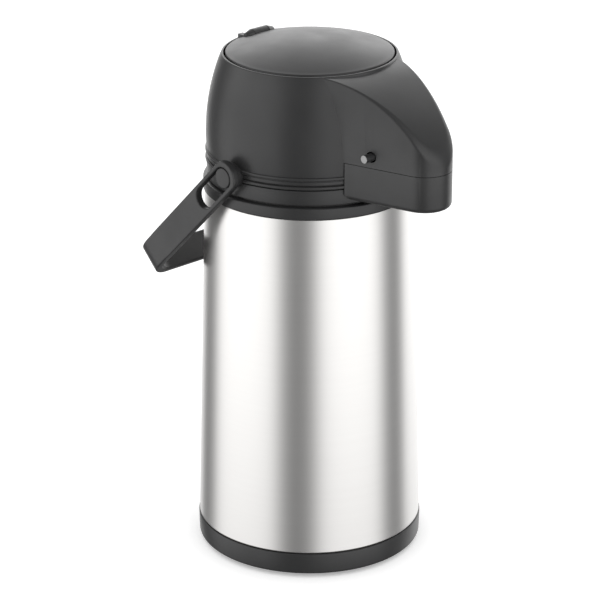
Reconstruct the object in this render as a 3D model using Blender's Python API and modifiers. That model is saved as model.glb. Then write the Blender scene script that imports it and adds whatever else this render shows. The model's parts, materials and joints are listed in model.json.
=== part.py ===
"""Thermal coffee airpot: vacuum flask, hinged pump lid, spout hood and carrying handle.

Frame: origin at the centre of the base's underside, +Z up, spout towards -Y, handle pivots along X.
Every sub-part is one object. Moving pieces have their origin on the axis of their joint.
"""
import bmesh
import bpy
from math import cos, degrees, pi, radians, sin, sqrt, tan
from mathutils import Matrix, Vector

MM = 0.001
GAP = 0.3 * MM                       # clearance between neighbouring pieces

# ---- driving dimensions ---------------------------------------------------------------------------
BASE_R = 62.5 * MM                   # black base ring
BASE_H = 14.1 * MM
FOOT_R = 56.5 * MM                   # recessed foot that the base stands on
FOOT_H = 1.9 * MM
FLOOR_T = 3.0 * MM
SCREW_CAP_R = 27.0 * MM              # opening in the base's floor
CAP_RING_Z = 11.0 * MM               # top of the ring that carries the cushion
SHELL_R_LOW = 62.0 * MM              # steel casing, a slight cone
SHELL_R_HIGH = 57.2 * MM
SHELL_TOP_Z = 207.0 * MM
SHELL_WALL = 0.5 * MM
LINER_R = 52.0 * MM                  # glass liner, outer wall
LINER_LOW_Z = 18.0 * MM
LINER_TOP_Z = 212.0 * MM
GLASS = 1.2 * MM
VACUUM = 2.6 * MM                    # gap between the two glass walls
LINER_WALL = 2 * GLASS + VACUUM
NECK_R = 17.0 * MM                   # inside of the liner's neck
COLLAR_TOP_Z = 233.4 * MM
SPIGOT_R = 51.9 * MM                 # collar's spigot, inside the head
SPIGOT_TOP_Z = 238.4 * MM
HEAD_LOW_Z = 233.7 * MM
RIM_Z = 282.6 * MM                   # top of the head, around the push button
RIM_R_IN = 46.4 * MM
SKIN = 2.0 * MM                      # wall of the head and of the spout hood
HOOD_LOW_Z = 238.1 * MM              # parting line between hood and spout cover
COVER_LOW_Z = 217.6 * MM
NOSE_Y = 86.5 * MM                   # centre of the hood's rounded nose, ahead of the axis
NOSE_R = 14.5 * MM
HOOD_SIDE_ANGLE = radians(14.7)      # each side of the hood closes in by this much
HOOD_ROOT_Y = 30.0 * MM              # where the hood's sides start, inside the barrel
HOOD_TOP_R = 78.4 * MM               # arc of the hood's top, seen from the side
HOOD_TOP_Y = 34.6 * MM               # centre of that arc, ahead of the axis
POST_R = 2.8 * MM                    # screw posts inside the hood
HINGE_Y = 40.0 * MM                  # lid hinge, at the rear of the button
HINGE_Z = 284.3 * MM
HINGE_PIN_R = 1.2 * MM
HINGE_BORE_R = 1.5 * MM
KNUCKLE_R = 3.2 * MM
KNUCKLE_HALF = 5.2 * MM              # half of its length along the hinge
BUTTON_R = 45.4 * MM
BUTTON_EDGE_Z = 283.0 * MM
BUTTON_CROWN = 7.35 * MM
NOTCH_HALF = 10.9 * MM               # notch in the button's rear, round the hinge
CUP_R = 36.0 * MM                    # lid frame, the cup that holds the bellows
CUP_LOW_Z = 245.0 * MM
CUP_TOP_Z = 265.0 * MM
PLATE_LOW_Z = 279.6 * MM             # underside of the plate between button and bellows
PLATE_T = 2.2 * MM
STEM_HOLE_R = 1.5 * MM               # holes that hold the flap valves
SHELF_Z = 217.0 * MM                 # shelf inside the collar that the funnel's rim rests on
SEAT_Z = 229.5 * MM                  # funnel face that the lid gasket seals on
TUBE_R = 3.5 * MM
BORE_R = 2.5 * MM
ELBOW_Z = 224.2 * MM                 # level run of the delivery tube
PIN_Y = 67.1 * MM                    # shut-off pin, ahead of the axis
PIN_Z = 244.1 * MM
PIN_R = 2.2 * MM
VALVE_HALF = 6.6 * MM                # half of the valve block's height and depth
SPOOL_R = 4.5 * MM
GOOSENECK_R = 8.5 * MM
NOZZLE_Y = PIN_Y + 2 * GOOSENECK_R
HANDLE_Z = 226.0 * MM                # handle pivots
HANDLE_REST = radians(45.0)          # arms point down and back at rest
ARM_OUTER_X = 64.0 * MM
ARM_T = 4.5 * MM
ARM_HALF_W = 8.4 * MM
ARM_TIP_R = 9.2 * MM
HANDLE_REACH = 97.0 * MM             # pivots to the grip's outer face
BEND_R = 15.9 * MM                   # outside of the bends between arms and grip
BOSS_R = 5.55 * MM
SLOT_R = 6.0 * MM
SLOT_LENGTH = 21.0 * MM

TURN = 28                            # steps of a small turned piece
TURN_WIDE = 40                       # steps of a wide turned piece

PARTS = None
CUTTERS = None


# ---- scene and helpers ----------------------------------------------------------------------------
def clear_scene():
    for obj in list(bpy.data.objects):
        bpy.data.objects.remove(obj, do_unlink=True)


def new_collection(name):
    collection = bpy.data.collections.new(name)
    bpy.context.scene.collection.children.link(collection)
    return collection


def material(name, colour, roughness, metallic=0.0, alpha=1.0):
    """A Principled material; made once and shared by name."""
    found = bpy.data.materials.get(name)
    if found:
        return found
    made = bpy.data.materials.new(name)
    made.use_nodes = True
    shader = made.node_tree.nodes["Principled BSDF"]
    shader.inputs["Base Color"].default_value = (*colour, 1.0)
    shader.inputs["Roughness"].default_value = roughness
    shader.inputs["Metallic"].default_value = metallic
    shader.inputs["Alpha"].default_value = alpha
    return made


def black_plastic():
    return material("charcoal_plastic", (0.070, 0.070, 0.072), 0.42)


def inner_plastic():
    return material("inner_plastic", (0.55, 0.55, 0.53), 0.45)


def steel():
    return material("brushed_steel", (0.72, 0.71, 0.69), 0.30, 1.0)


def bright_wire():
    return material("spring_wire", (0.60, 0.60, 0.60), 0.25, 1.0)


def rubber():
    return material("silicone_rubber", (0.62, 0.60, 0.56), 0.60)


def glass():
    return material("silvered_glass", (0.78, 0.80, 0.82), 0.08, 0.6)


def smooth(obj):
    obj.data.shade_smooth()
    obj.data.set_sharp_from_angle(angle=radians(35.0))


def add_part(name, mesh, mat, location=(0.0, 0.0, 0.0)):
    obj = bpy.data.objects.new(name, mesh)
    obj.location = location
    mesh.materials.clear()
    mesh.materials.append(mat)
    PARTS.objects.link(obj)
    return obj


def as_cutter(name, mesh):
    """An operand of a Boolean: drawn as wire and left out of the object."""
    obj = bpy.data.objects.new("cut_" + name, mesh)
    obj.display_type = "WIRE"
    obj.hide_render = True
    CUTTERS.objects.link(obj)
    return obj


def boolean(obj, other, operation):
    step = obj.modifiers.new(operation.lower() + "_" + other.name, "BOOLEAN")
    step.operation = operation
    step.solver = "EXACT"
    step.object = other
    return obj


def cut(obj, *others):
    for other in others:
        boolean(obj, other, "DIFFERENCE")
    return obj


def join(obj, *others):
    for other in others:
        boolean(obj, other, "UNION")
    return obj


def evaluated(obj):
    """The mesh of an object with its modifiers applied."""
    bpy.context.view_layer.update()
    graph = bpy.context.evaluated_depsgraph_get()
    return bpy.data.meshes.new_from_object(obj.evaluated_get(graph))


def mesh_from(bm, name):
    mesh = bpy.data.meshes.new(name)
    bm.to_mesh(mesh)
    bm.free()
    return mesh


def arc(centre, radius, start, end, steps):
    """Points of an arc in a plane; angles in degrees."""
    turns = [radians(start + (end - start) * i / steps) for i in range(steps + 1)]
    return [(centre[0] + radius * cos(t), centre[1] + radius * sin(t)) for t in turns]


def turned_mesh(name, profile, closed, steps=TURN):
    """A profile of (radius, height), down its outer side, turned once about Z."""
    mesh = bpy.data.meshes.new(name + "_profile")
    count = len(profile)
    edges = [(i, i + 1) for i in range(count - 1)]
    if closed:
        edges.append((count - 1, 0))
    mesh.from_pydata([(r, 0.0, z) for r, z in profile], edges, [])
    guide = as_cutter(name + "_profile", mesh)
    screw = guide.modifiers.new("turn", "SCREW")
    screw.axis = "Z"
    screw.steps = steps
    screw.render_steps = steps
    screw.use_merge_vertices = True
    screw.merge_threshold = 0.00001
    result = evaluated(guide)
    bpy.data.objects.remove(guide, do_unlink=True)
    result.name = name
    return result


def turned(name, profile, mat, closed=True, steps=TURN, location=(0.0, 0.0, 0.0)):
    obj = add_part(name, turned_mesh(name, profile, closed, steps), mat, location)
    smooth(obj)
    return obj


def ring_profile(r_in, r_out, z_low, z_high):
    return [(r_out, z_high), (r_out, z_low), (r_in, z_low), (r_in, z_high)]


def rod_mesh(name, start, end, radius, steps=TURN, radius_end=None):
    """A cylinder or a cone between two points."""
    start, end = Vector(start), Vector(end)
    along = end - start
    place = Matrix.Translation((start + end) / 2) @ along.to_track_quat("Z", "Y").to_matrix().to_4x4()
    bm = bmesh.new()
    bmesh.ops.create_cone(bm, cap_ends=True, segments=steps, radius1=radius,
                          radius2=radius if radius_end is None else radius_end,
                          depth=along.length, matrix=place)
    return mesh_from(bm, name)


def box_mesh(name, low, high):
    low, high = Vector(low), Vector(high)
    size = high - low
    place = Matrix.Translation((low + high) / 2) @ Matrix.Diagonal((*size, 1.0))
    bm = bmesh.new()
    bmesh.ops.create_cube(bm, size=1.0, matrix=place)
    return mesh_from(bm, name)


def outline_mesh(name, loops, thickness):
    """A flat outline, with holes, as a slab centred on its own XY plane."""
    curve = bpy.data.curves.new(name, "CURVE")
    curve.dimensions = "2D"
    curve.fill_mode = "BOTH"
    curve.extrude = thickness / 2
    for loop in loops:
        spline = curve.splines.new("POLY")
        spline.points.add(len(loop) - 1)
        for point, (x, y) in zip(spline.points, loop):
            point.co = (x, y, 0.0, 1.0)
        spline.use_cyclic_u = True
    return mesh_of_curve(name, curve)


def mesh_of_curve(name, curve):
    """A curve as a closed mesh: its caps are loose until their points are merged."""
    guide = bpy.data.objects.new(name + "_curve", curve)
    CUTTERS.objects.link(guide)
    mesh = evaluated(guide)
    bpy.data.objects.remove(guide, do_unlink=True)
    bm = bmesh.new()
    bm.from_mesh(mesh)
    bmesh.ops.remove_doubles(bm, verts=bm.verts, dist=0.000005)
    bmesh.ops.recalc_face_normals(bm, faces=bm.faces)
    return mesh_from(bm, name)


def wire_mesh(name, path, radius, resolution=2):
    """A round bar along a path of points."""
    curve = bpy.data.curves.new(name, "CURVE")
    curve.dimensions = "3D"
    curve.bevel_depth = radius
    curve.bevel_resolution = resolution
    curve.use_fill_caps = True
    spline = curve.splines.new("POLY")
    spline.points.add(len(path) - 1)
    for point, place in zip(spline.points, path):
        point.co = (*place, 1.0)
    return mesh_of_curve(name, curve)


def hollow_tube(name, path, mat):
    """A tube along a path; the bore's path runs past both ends, so the tube is open."""
    first, last = Vector(path[0]), Vector(path[-1])
    past_first = first + (first - Vector(path[1])).normalized() * MM
    past_last = last + (last - Vector(path[-2])).normalized() * MM
    bore_path = [past_first, *path[1:-1], past_last]
    obj = add_part(name, wire_mesh(name, path, TUBE_R), mat)
    cut(obj, as_cutter(name + "_bore", wire_mesh(name + "_bore", bore_path, BORE_R)))
    smooth(obj)
    return obj


def bend(centre, radius, start, end, steps=6):
    """Points of a bend in the plane x = 0; angles in degrees, 0 towards +Y and 90 upwards."""
    return [(0.0, y, z) for y, z in arc(centre, radius, start, end, steps)]


# ---- base -------------------------------------------------------------------------------------------
def make_base():
    make_base_ring()
    make_screw_cap()
    make_cushion()


def make_base_ring():
    """Black ring on a recessed foot, with a floor; a spigot stands up inside the casing."""
    edge = 1.6 * MM
    draft = 0.3 * MM
    spigot_r, spigot_in, spigot_top = 60.9 * MM, 59.0 * MM, BASE_H + 8 * MM
    profile = [(spigot_r, spigot_top), (spigot_r, BASE_H), (BASE_R, BASE_H)]
    profile += arc((BASE_R - draft - edge, FOOT_H + edge), edge, 0, -90, 3)
    profile += [(FOOT_R, FOOT_H), (FOOT_R, 0.0), (SCREW_CAP_R, 0.0), (SCREW_CAP_R, FLOOR_T)]
    profile += [(spigot_in, FLOOR_T + 2 * MM), (spigot_in, spigot_top)]
    turned("base_ring", profile, black_plastic(), steps=TURN_WIDE)


def make_screw_cap():
    """Cap in the base's centre: a plate, a lip over the base's floor and a short ring for the cushion."""
    cap_r = SCREW_CAP_R - GAP
    lip_r = cap_r + 3 * MM
    plate_top = 6 * MM
    ring_r, ring_in = 21.0 * MM, 19.0 * MM
    cap = [(0.0, plate_top), (ring_in, plate_top), (ring_in, CAP_RING_Z), (ring_r, CAP_RING_Z)]
    cap += [(ring_r, plate_top), (lip_r, plate_top), (lip_r, FLOOR_T + GAP), (cap_r, FLOOR_T + GAP)]
    cap += [(cap_r, 0.0), (0.0, 0.0)]
    screw_cap = turned("base_screw_cap", cap, black_plastic(), closed=False)
    spanner_x, spanner_r, spanner_depth = 14 * MM, 2.5 * MM, 2.5 * MM
    for side in (-1, 1):
        x = side * spanner_x
        hole = rod_mesh("spanner", (x, 0, -MM), (x, 0, spanner_depth), spanner_r, 16)
        cut(screw_cap, as_cutter("spanner_%d" % (side + 1), hole))


def make_cushion():
    """Rubber ring between the screw cap and the liner's round bottom."""
    rest_z = CAP_RING_Z + GAP
    top_z = LINER_LOW_Z - GAP
    r_in, r_out, chamfer = 14 * MM, 30 * MM, MM
    cushion = [(r_out - chamfer, top_z), (r_out, top_z - chamfer), (r_out, rest_z)]
    cushion += [(r_in, rest_z), (r_in, top_z)]
    turned("liner_cushion", cushion, rubber())


# ---- flask ------------------------------------------------------------------------------------------
def shell_radius(z):
    """Outer radius of the steel casing at a height."""
    share = (z - BASE_H) / (SHELL_TOP_Z - BASE_H)
    return SHELL_R_LOW + (SHELL_R_HIGH - SHELL_R_LOW) * share


def make_outer_shell():
    low = BASE_H + GAP
    heights = [SHELL_TOP_Z, low]
    outside = [(shell_radius(z), z) for z in heights]
    inside = [(shell_radius(z) - SHELL_WALL, z) for z in reversed(heights)]
    turned("outer_shell", outside + inside, steel(), steps=64)


def bottle_side(inset):
    """One surface of the liner from its neck down to its bottom, moved inwards by inset."""
    body_r = LINER_R - inset
    neck_r = NECK_R + LINER_WALL - inset
    corner = 26 * MM - inset
    low = LINER_LOW_Z + inset
    shoulder_low, shoulder_high = 172 * MM, 184 * MM
    shoulder_in = 7 * MM
    neck_z = 200 * MM - 0.4 * inset
    neck_flare, neck_drop = 4 * MM, 2 * MM
    points = [(neck_r, neck_z), (neck_r + neck_flare, neck_z - neck_drop)]
    points += [(body_r - shoulder_in, shoulder_high), (body_r, shoulder_low)]
    points += arc((body_r - corner, low + corner), corner, 0, -75, 4)
    return points


def make_liner():
    """Two glass walls with a gap between them, joined at the mouth; the pumping hole stays open."""
    pump_hole_r = 2.5 * MM
    inner_low = LINER_LOW_Z + LINER_WALL
    lip = 1.5 * MM
    bridge_z = LINER_TOP_Z - 2 * lip
    mouth_out = NECK_R + LINER_WALL
    profile = [(0.0, inner_low)] + bottle_side(LINER_WALL)[::-1]
    profile += [(NECK_R, LINER_TOP_Z - lip), (NECK_R + lip, LINER_TOP_Z)]
    profile += [(mouth_out - lip, LINER_TOP_Z), (mouth_out, LINER_TOP_Z - lip)]
    profile += bottle_side(0.0) + [(pump_hole_r, LINER_LOW_Z), (pump_hole_r, LINER_LOW_Z + GLASS)]
    profile += bottle_side(GLASS)[::-1]
    profile += [(mouth_out - GLASS, bridge_z), (NECK_R + GLASS, bridge_z)]
    profile += bottle_side(GLASS + VACUUM) + [(0.0, inner_low - GLASS)]
    turned("vacuum_liner", profile, glass(), closed=False)


def make_neck():
    """Gasket on the liner's mouth, the funnel over it and the bush in the funnel's side port."""
    gasket_in, gasket_out, gasket_top = 17.5 * MM, 25.0 * MM, 214.3 * MM
    turned("neck_gasket", ring_profile(gasket_in, gasket_out, LINER_TOP_Z + GAP, gasket_top), rubber())

    low = gasket_top + GAP
    seat_in, seat_out = 22.0 * MM, 27.0 * MM
    throat_r, throat_z = 18.0 * MM, 218.0 * MM
    rim_r, foot_r = 33.5 * MM, 30.4 * MM
    funnel = [(seat_out, SEAT_Z), (seat_out, SHELF_Z + 2.3 * MM), (rim_r, SHELF_Z + 2.3 * MM)]
    funnel += [(rim_r, SHELF_Z + GAP), (foot_r, SHELF_Z + GAP), (foot_r, low)]
    funnel += [(throat_r, low), (throat_r, throat_z), (seat_in, SEAT_Z)]
    neck = turned("neck_funnel", funnel, inner_plastic())

    port_r, port_start, port_end = 4.9 * MM, 10 * MM, 32 * MM
    port = rod_mesh("port", (0, -port_start, ELBOW_Z), (0, -port_end, ELBOW_Z), port_r, 24)
    cut(neck, as_cutter("funnel_port", port))
    bush_y, bush_length = 21.0 * MM, 6.4 * MM
    grommet = ring_profile(TUBE_R + GAP, port_r - GAP, 0.0, bush_length)
    bush = turned("elbow_grommet", grommet, rubber(), steps=24, location=(0.0, -bush_y, ELBOW_Z))
    bush.rotation_euler = (radians(90.0), 0.0, 0.0)


def collar_outside():
    """Outer side of the shoulder ring, from its spigot down to the casing's edge."""
    flange_r, band_r, bead_r = 57.9 * MM, 55.9 * MM, 56.6 * MM
    groove_r, top_r = 54.8 * MM, 55.4 * MM
    groove_h, bead_h, lip = 0.5 * MM, 1.9 * MM, GAP
    band_low, groove_low, flange_top = 214.8 * MM, 213.9 * MM, 213.7 * MM
    bead_tops = (230.2 * MM, 225.3 * MM)
    profile = [(SPIGOT_R, SPIGOT_TOP_Z), (SPIGOT_R, COLLAR_TOP_Z)]
    profile += [(top_r, COLLAR_TOP_Z), (top_r, bead_tops[0] + lip)]
    for top in bead_tops:
        low = top - bead_h
        if top != bead_tops[0]:
            profile += [(band_r, top + 2 * lip)]
        profile += [(groove_r, top + lip), (groove_r, top), (bead_r, top)]
        profile += [(bead_r, low), (groove_r, low), (groove_r, low - groove_h), (band_r, low - groove_h)]
    profile += [(band_r, band_low), (groove_r, band_low), (groove_r, groove_low)]
    profile += [(flange_r - 0.5 * MM, flange_top), (flange_r, flange_top - 0.6 * MM)]
    profile += [(flange_r, SHELL_TOP_Z + 0.9 * MM), (flange_r - 0.4 * MM, SHELL_TOP_Z + GAP)]
    return profile


def collar_inside():
    """Inner side: a skirt inside the casing, the funnel's shelf and the spigot's bore."""
    skirt_out, skirt_in, skirt_low = 56.2 * MM, 54.4 * MM, 199.0 * MM
    web_r, web_z, spigot_wall = 30.8 * MM, 214.0 * MM, 1.4 * MM
    profile = [(skirt_out, SHELL_TOP_Z + GAP), (skirt_out, skirt_low), (skirt_in, skirt_low)]
    profile += [(skirt_in, web_z - 3 * MM), (web_r, web_z), (web_r, SHELF_Z)]
    profile += [(SPIGOT_R - spigot_wall, SHELF_Z), (SPIGOT_R - spigot_wall, SPIGOT_TOP_Z)]
    return profile


def make_collar():
    """Shoulder ring: flange on the casing, plain band, two beads, and the handle lugs."""
    profile = collar_outside() + collar_inside()
    collar = turned("collar", profile, black_plastic(), steps=TURN_WIDE)
    lug_inner, lug_r = 52.5 * MM, 7.0 * MM
    lug_end = ARM_OUTER_X - ARM_T - 0.5 * MM
    for side in (-1, 1):
        start = (side * lug_inner, 0, HANDLE_Z)
        lug = rod_mesh("lug", start, (side * lug_end, 0, HANDLE_Z), lug_r, 28)
        boss = rod_mesh("boss", start, (side * ARM_OUTER_X, 0, HANDLE_Z), BOSS_R, 24)
        join(collar, as_cutter("lug_%d" % (side + 1), lug), as_cutter("boss_%d" % (side + 1), boss))
    window_r, window_in, window_out = 4.2 * MM, 48 * MM, 60 * MM
    window = rod_mesh("window", (0, -window_in, ELBOW_Z), (0, -window_out, ELBOW_Z), window_r, 24)
    cut(collar, as_cutter("collar_window", window))


# ---- delivery line ------------------------------------------------------------------------------------
def make_delivery():
    """Siphon tube, elbow, valve block, gooseneck and nozzle, one after the other along the flow."""
    siphon_low, siphon_high = 30 * MM, 216 * MM
    turned("siphon_tube", ring_profile(BORE_R, TUBE_R, siphon_low, siphon_high), inner_plastic(), steps=16)

    turn_r = 6 * MM
    path = [(0, 0, siphon_high + GAP)]
    path += bend((-turn_r, ELBOW_Z - turn_r), turn_r, 0, 90)
    path += bend((-PIN_Y + turn_r, ELBOW_Z + turn_r), turn_r, 270, 180)
    path += [(0, -PIN_Y, PIN_Z - VALVE_HALF - GAP)]
    hollow_tube("delivery_elbow", path, inner_plastic())
    make_valve_body()

    nozzle_high = 232 * MM
    tube_end = 226 * MM
    path = [(0, -PIN_Y, PIN_Z + VALVE_HALF + GAP)]
    path += bend((-PIN_Y - GOOSENECK_R, PIN_Z + VALVE_HALF + 1.5 * MM), GOOSENECK_R, 0, 180, 10)
    path += [(0, -NOZZLE_Y, tube_end)]
    hollow_tube("gooseneck_tube", path, inner_plastic())

    low, socket_z = 215.6 * MM, tube_end - 0.4 * MM
    socket_r, outer_r, outlet_r = TUBE_R + GAP, 4.6 * MM, 2.8 * MM
    nozzle = [(outer_r, nozzle_high), (outer_r, 222 * MM), (5.2 * MM, 220 * MM), (4.4 * MM, low)]
    nozzle += [(outlet_r, low), (outlet_r, socket_z), (socket_r, socket_z), (socket_r, nozzle_high)]
    turned("spout_nozzle", nozzle, black_plastic(), steps=24, location=(0, -NOZZLE_Y, 0))


def make_valve_body():
    """A block with a bore along X for the pin's spool and an upright channel for the coffee."""
    half_length = 10.5 * MM
    low, high = PIN_Z - VALVE_HALF, PIN_Z + VALVE_HALF
    block = box_mesh("valve_body", (-half_length, -PIN_Y - VALVE_HALF, low),
                     (half_length, -PIN_Y + VALVE_HALF, high))
    valve = add_part("valve_body", block, inner_plastic())
    bore_r, reach = SPOOL_R + 0.4 * MM, 20 * MM
    bore = rod_mesh("spool_bore", (-reach, -PIN_Y, PIN_Z), (reach, -PIN_Y, PIN_Z), bore_r)
    channel = rod_mesh("channel", (0, -PIN_Y, low - MM), (0, -PIN_Y, high + MM), BORE_R, 20)
    cut(valve, as_cutter("spool_bore", bore), as_cutter("valve_channel", channel))


def make_shutoff_pin():
    """A push-through spool: its cross hole lines up with the valve's channel at rest."""
    near_end, far_end = 25.7 * MM, 20.0 * MM
    spool_half = 9.6 * MM
    groove_low, groove_high, groove_r = 7.2 * MM, 9.0 * MM, 2.9 * MM
    chamfer = 0.4 * MM
    tip = [(0.0, far_end), (PIN_R - chamfer, far_end), (PIN_R, far_end - chamfer)]
    spool = [(PIN_R, spool_half), (SPOOL_R, spool_half), (SPOOL_R, groove_high), (groove_r, groove_high)]
    spool += [(groove_r, groove_low), (SPOOL_R, groove_low)]
    other_half = [(r, -z) for r, z in reversed(spool)]
    near_tip = [(PIN_R, -near_end + chamfer), (PIN_R - chamfer, -near_end), (0.0, -near_end)]
    turn = (0.0, radians(90.0), 0.0)
    pin = turned("shutoff_pin", tip + spool + other_half + near_tip, black_plastic(), closed=False, steps=20)
    pin.location = (0.0, -PIN_Y, PIN_Z)
    pin.rotation_euler = turn
    reach = 8 * MM
    hole = rod_mesh("pin_cross_hole", (0, -PIN_Y, PIN_Z - reach), (0, -PIN_Y, PIN_Z + reach), BORE_R, 20)
    cut(pin, as_cutter("pin_cross_hole", hole))
    seal_r, cord_r = 3.9 * MM, 0.6 * MM
    seal_at = (groove_low + groove_high) / 2
    for side, word in ((-1, "left"), (1, "right")):
        seal = arc((seal_r, side * seal_at), cord_r, 0, -360, 6)[:-1]
        ring = turned("pin_seal_" + word, seal, rubber(), steps=18, location=(0.0, -PIN_Y, PIN_Z))
        ring.rotation_euler = turn


# ---- head ---------------------------------------------------------------------------------------------
def hood_outline(inset):
    """The hood from above: two straight sides that close in on a round nose."""
    radius = NOSE_R - inset
    side_y = NOSE_Y + radius * sin(HOOD_SIDE_ANGLE)
    side_x = radius * cos(HOOD_SIDE_ANGLE)
    root_x = side_x + (side_y - HOOD_ROOT_Y) * tan(HOOD_SIDE_ANGLE)
    side_turn = degrees(HOOD_SIDE_ANGLE)
    nose = arc((0.0, -NOSE_Y), radius, 180 + side_turn, 360 - side_turn, 14)
    return [(-root_x, -HOOD_ROOT_Y), *nose, (root_x, -HOOD_ROOT_Y)]


def hood_block(name, inset, low, high):
    """The hood's outline from one height to another, as an upright prism."""
    mesh = outline_mesh(name, [hood_outline(inset)], high - low)
    mesh.transform(Matrix.Translation((0, 0, (low + high) / 2)))
    return mesh


def barrel_outside():
    """Outer side of the head's barrel, from its rim down to its lower edge."""
    swell_r, swell_z = 56.2 * MM, 239.0 * MM
    rim_r = RIM_R_IN + 1.1 * MM
    points = [(rim_r, RIM_Z)]
    steps = 7
    for i in range(1, steps + 1):
        share = i / steps
        z = RIM_Z + (swell_z - RIM_Z) * share
        points.append((barrel_radius(z, rim_r, swell_r, swell_z), z))
    points += [(55.8 * MM, 236.6 * MM), (54.8 * MM, HEAD_LOW_Z + 0.4 * MM), (54.4 * MM, HEAD_LOW_Z)]
    return points


def barrel_radius(z, rim_r, swell_r, swell_z):
    """The barrel's side leaves the swell upright and leans in towards the rim."""
    share = (z - swell_z) / (RIM_Z - swell_z)
    return swell_r - (swell_r - rim_r) * (0.10 * share + 0.90 * share ** 2.15)


def hood_under_arc(name, inset):
    """The space under the hood's curved top: a cylinder that lies along X."""
    centre_z = RIM_Z - 0.4 * MM - HOOD_TOP_R
    reach = 45 * MM
    return rod_mesh(name, (-reach, -HOOD_TOP_Y, centre_z), (reach, -HOOD_TOP_Y, centre_z),
                    HOOD_TOP_R - inset, 96)


def hood_solid(name, inset, low):
    block = as_cutter(name + "_block", hood_block(name + "_block", inset, low, RIM_Z + 8 * MM))
    boolean(block, as_cutter(name + "_arc", hood_under_arc(name + "_arc", inset)), "INTERSECT")
    return block


def screw_places():
    x, y = 10.5 * MM, -79.0 * MM
    return [("left", -x, y), ("right", x, y)]


def barrel_cavity_profile(outside):
    """The barrel's inside: a lip at the rim, then a wall of even thickness."""
    lip_z = RIM_Z - 1.6 * MM
    past = MM
    wall = [(max(r - SKIN, RIM_R_IN), z) for r, z in outside if HEAD_LOW_Z < z < lip_z]
    profile = [(0.0, RIM_Z + past), (RIM_R_IN, RIM_Z + past), (RIM_R_IN, lip_z), (wall[0][0], lip_z)]
    return profile + wall + [(wall[-1][0], HEAD_LOW_Z - past), (0.0, HEAD_LOW_Z - past)]


def make_head_shell():
    """Barrel and spout hood in one moulding, hollow, with two screw posts and the hinge ears."""
    outside = barrel_outside()
    solid = [(0.0, RIM_Z)] + outside + [(0.0, HEAD_LOW_Z)]
    head = turned("head_shell", solid, black_plastic(), closed=False, steps=TURN_WIDE)
    join(head, hood_solid("hood_outer", 0.0, HOOD_LOW_Z))

    cavity = turned_mesh("barrel_cavity", barrel_cavity_profile(outside), False, TURN_WIDE)
    hood_cavity = hood_solid("hood_inner", SKIN, HOOD_LOW_Z - SKIN)
    well_below, well_above = 200 * MM, RIM_Z + 10 * MM
    for word, x, y in screw_places():
        post = rod_mesh("post", (x, y, well_below), (x, y, well_above), POST_R, 16)
        cut(hood_cavity, as_cutter("hood_post_" + word, post))
    cut(head, as_cutter("barrel_cavity", cavity), hood_cavity)
    add_screw_posts(head)
    add_hinge_ears(head)
    pin_hole_r, reach = 3.0 * MM, 35 * MM
    pin_hole = rod_mesh("pin_hole", (-reach, -PIN_Y, PIN_Z), (reach, -PIN_Y, PIN_Z), pin_hole_r)
    cut(head, as_cutter("pin_hole", pin_hole))


def add_screw_posts(head):
    """The posts reach below the parting line, down to the spout cover's floor."""
    low, high = COVER_LOW_Z + 4.7 * MM, HOOD_LOW_Z + 3.9 * MM
    hole_r, hole_top = 1.7 * MM, 234.0 * MM
    for word, x, y in screw_places():
        post = rod_mesh("post_low", (x, y, low), (x, y, high), POST_R, 16)
        hole = rod_mesh("screw_hole", (x, y, low - MM), (x, y, hole_top), hole_r, 12)
        join(head, as_cutter("post_low_" + word, post))
        cut(head, as_cutter("screw_hole_" + word, hole))


def add_hinge_ears(head):
    """Two tapered ears reach in from the rear of the rim and carry the hinge pin."""
    near, far, tip_r = KNUCKLE_HALF + GAP, 10.2 * MM, 1.7 * MM
    hole_far = 8.6 * MM
    foot_near, foot_far = near + 0.4 * MM, 9.4 * MM
    foot_low_y, foot_high_y, foot_low_z = HINGE_Y - 1.6 * MM, 46.8 * MM, 279.0 * MM
    room = KNUCKLE_HALF + 0.45 * MM
    knuckle_room = rod_mesh("knuckle_room", (-room, HINGE_Y, HINGE_Z), (room, HINGE_Y, HINGE_Z),
                            KNUCKLE_R + 0.4 * MM, 24)
    cut(head, as_cutter("knuckle_room", knuckle_room))
    for side in (-1, 1):
        ear = rod_mesh("ear", (side * near, HINGE_Y, HINGE_Z), (side * far, HINGE_Y, HINGE_Z),
                       KNUCKLE_R, 24, tip_r)
        foot_x = sorted((side * foot_near, side * foot_far))
        foot = box_mesh("ear_foot", (foot_x[0], foot_low_y, foot_low_z), (foot_x[1], foot_high_y, HINGE_Z))
        hole = rod_mesh("ear_hole", (side * (near - MM), HINGE_Y, HINGE_Z),
                        (side * hole_far, HINGE_Y, HINGE_Z), HINGE_BORE_R, 16)
        join(head, as_cutter("ear_%d" % (side + 1), ear), as_cutter("ear_foot_%d" % (side + 1), foot))
        cut(head, as_cutter("ear_hole_%d" % (side + 1), hole))


def make_hinge_pin():
    reach = 8.3 * MM
    mesh = rod_mesh("hinge_pin", (-reach, 0, 0), (reach, 0, 0), HINGE_PIN_R, 16)
    pin = add_part("hinge_pin", mesh, bright_wire(), (0, HINGE_Y, HINGE_Z))
    smooth(pin)


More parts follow.
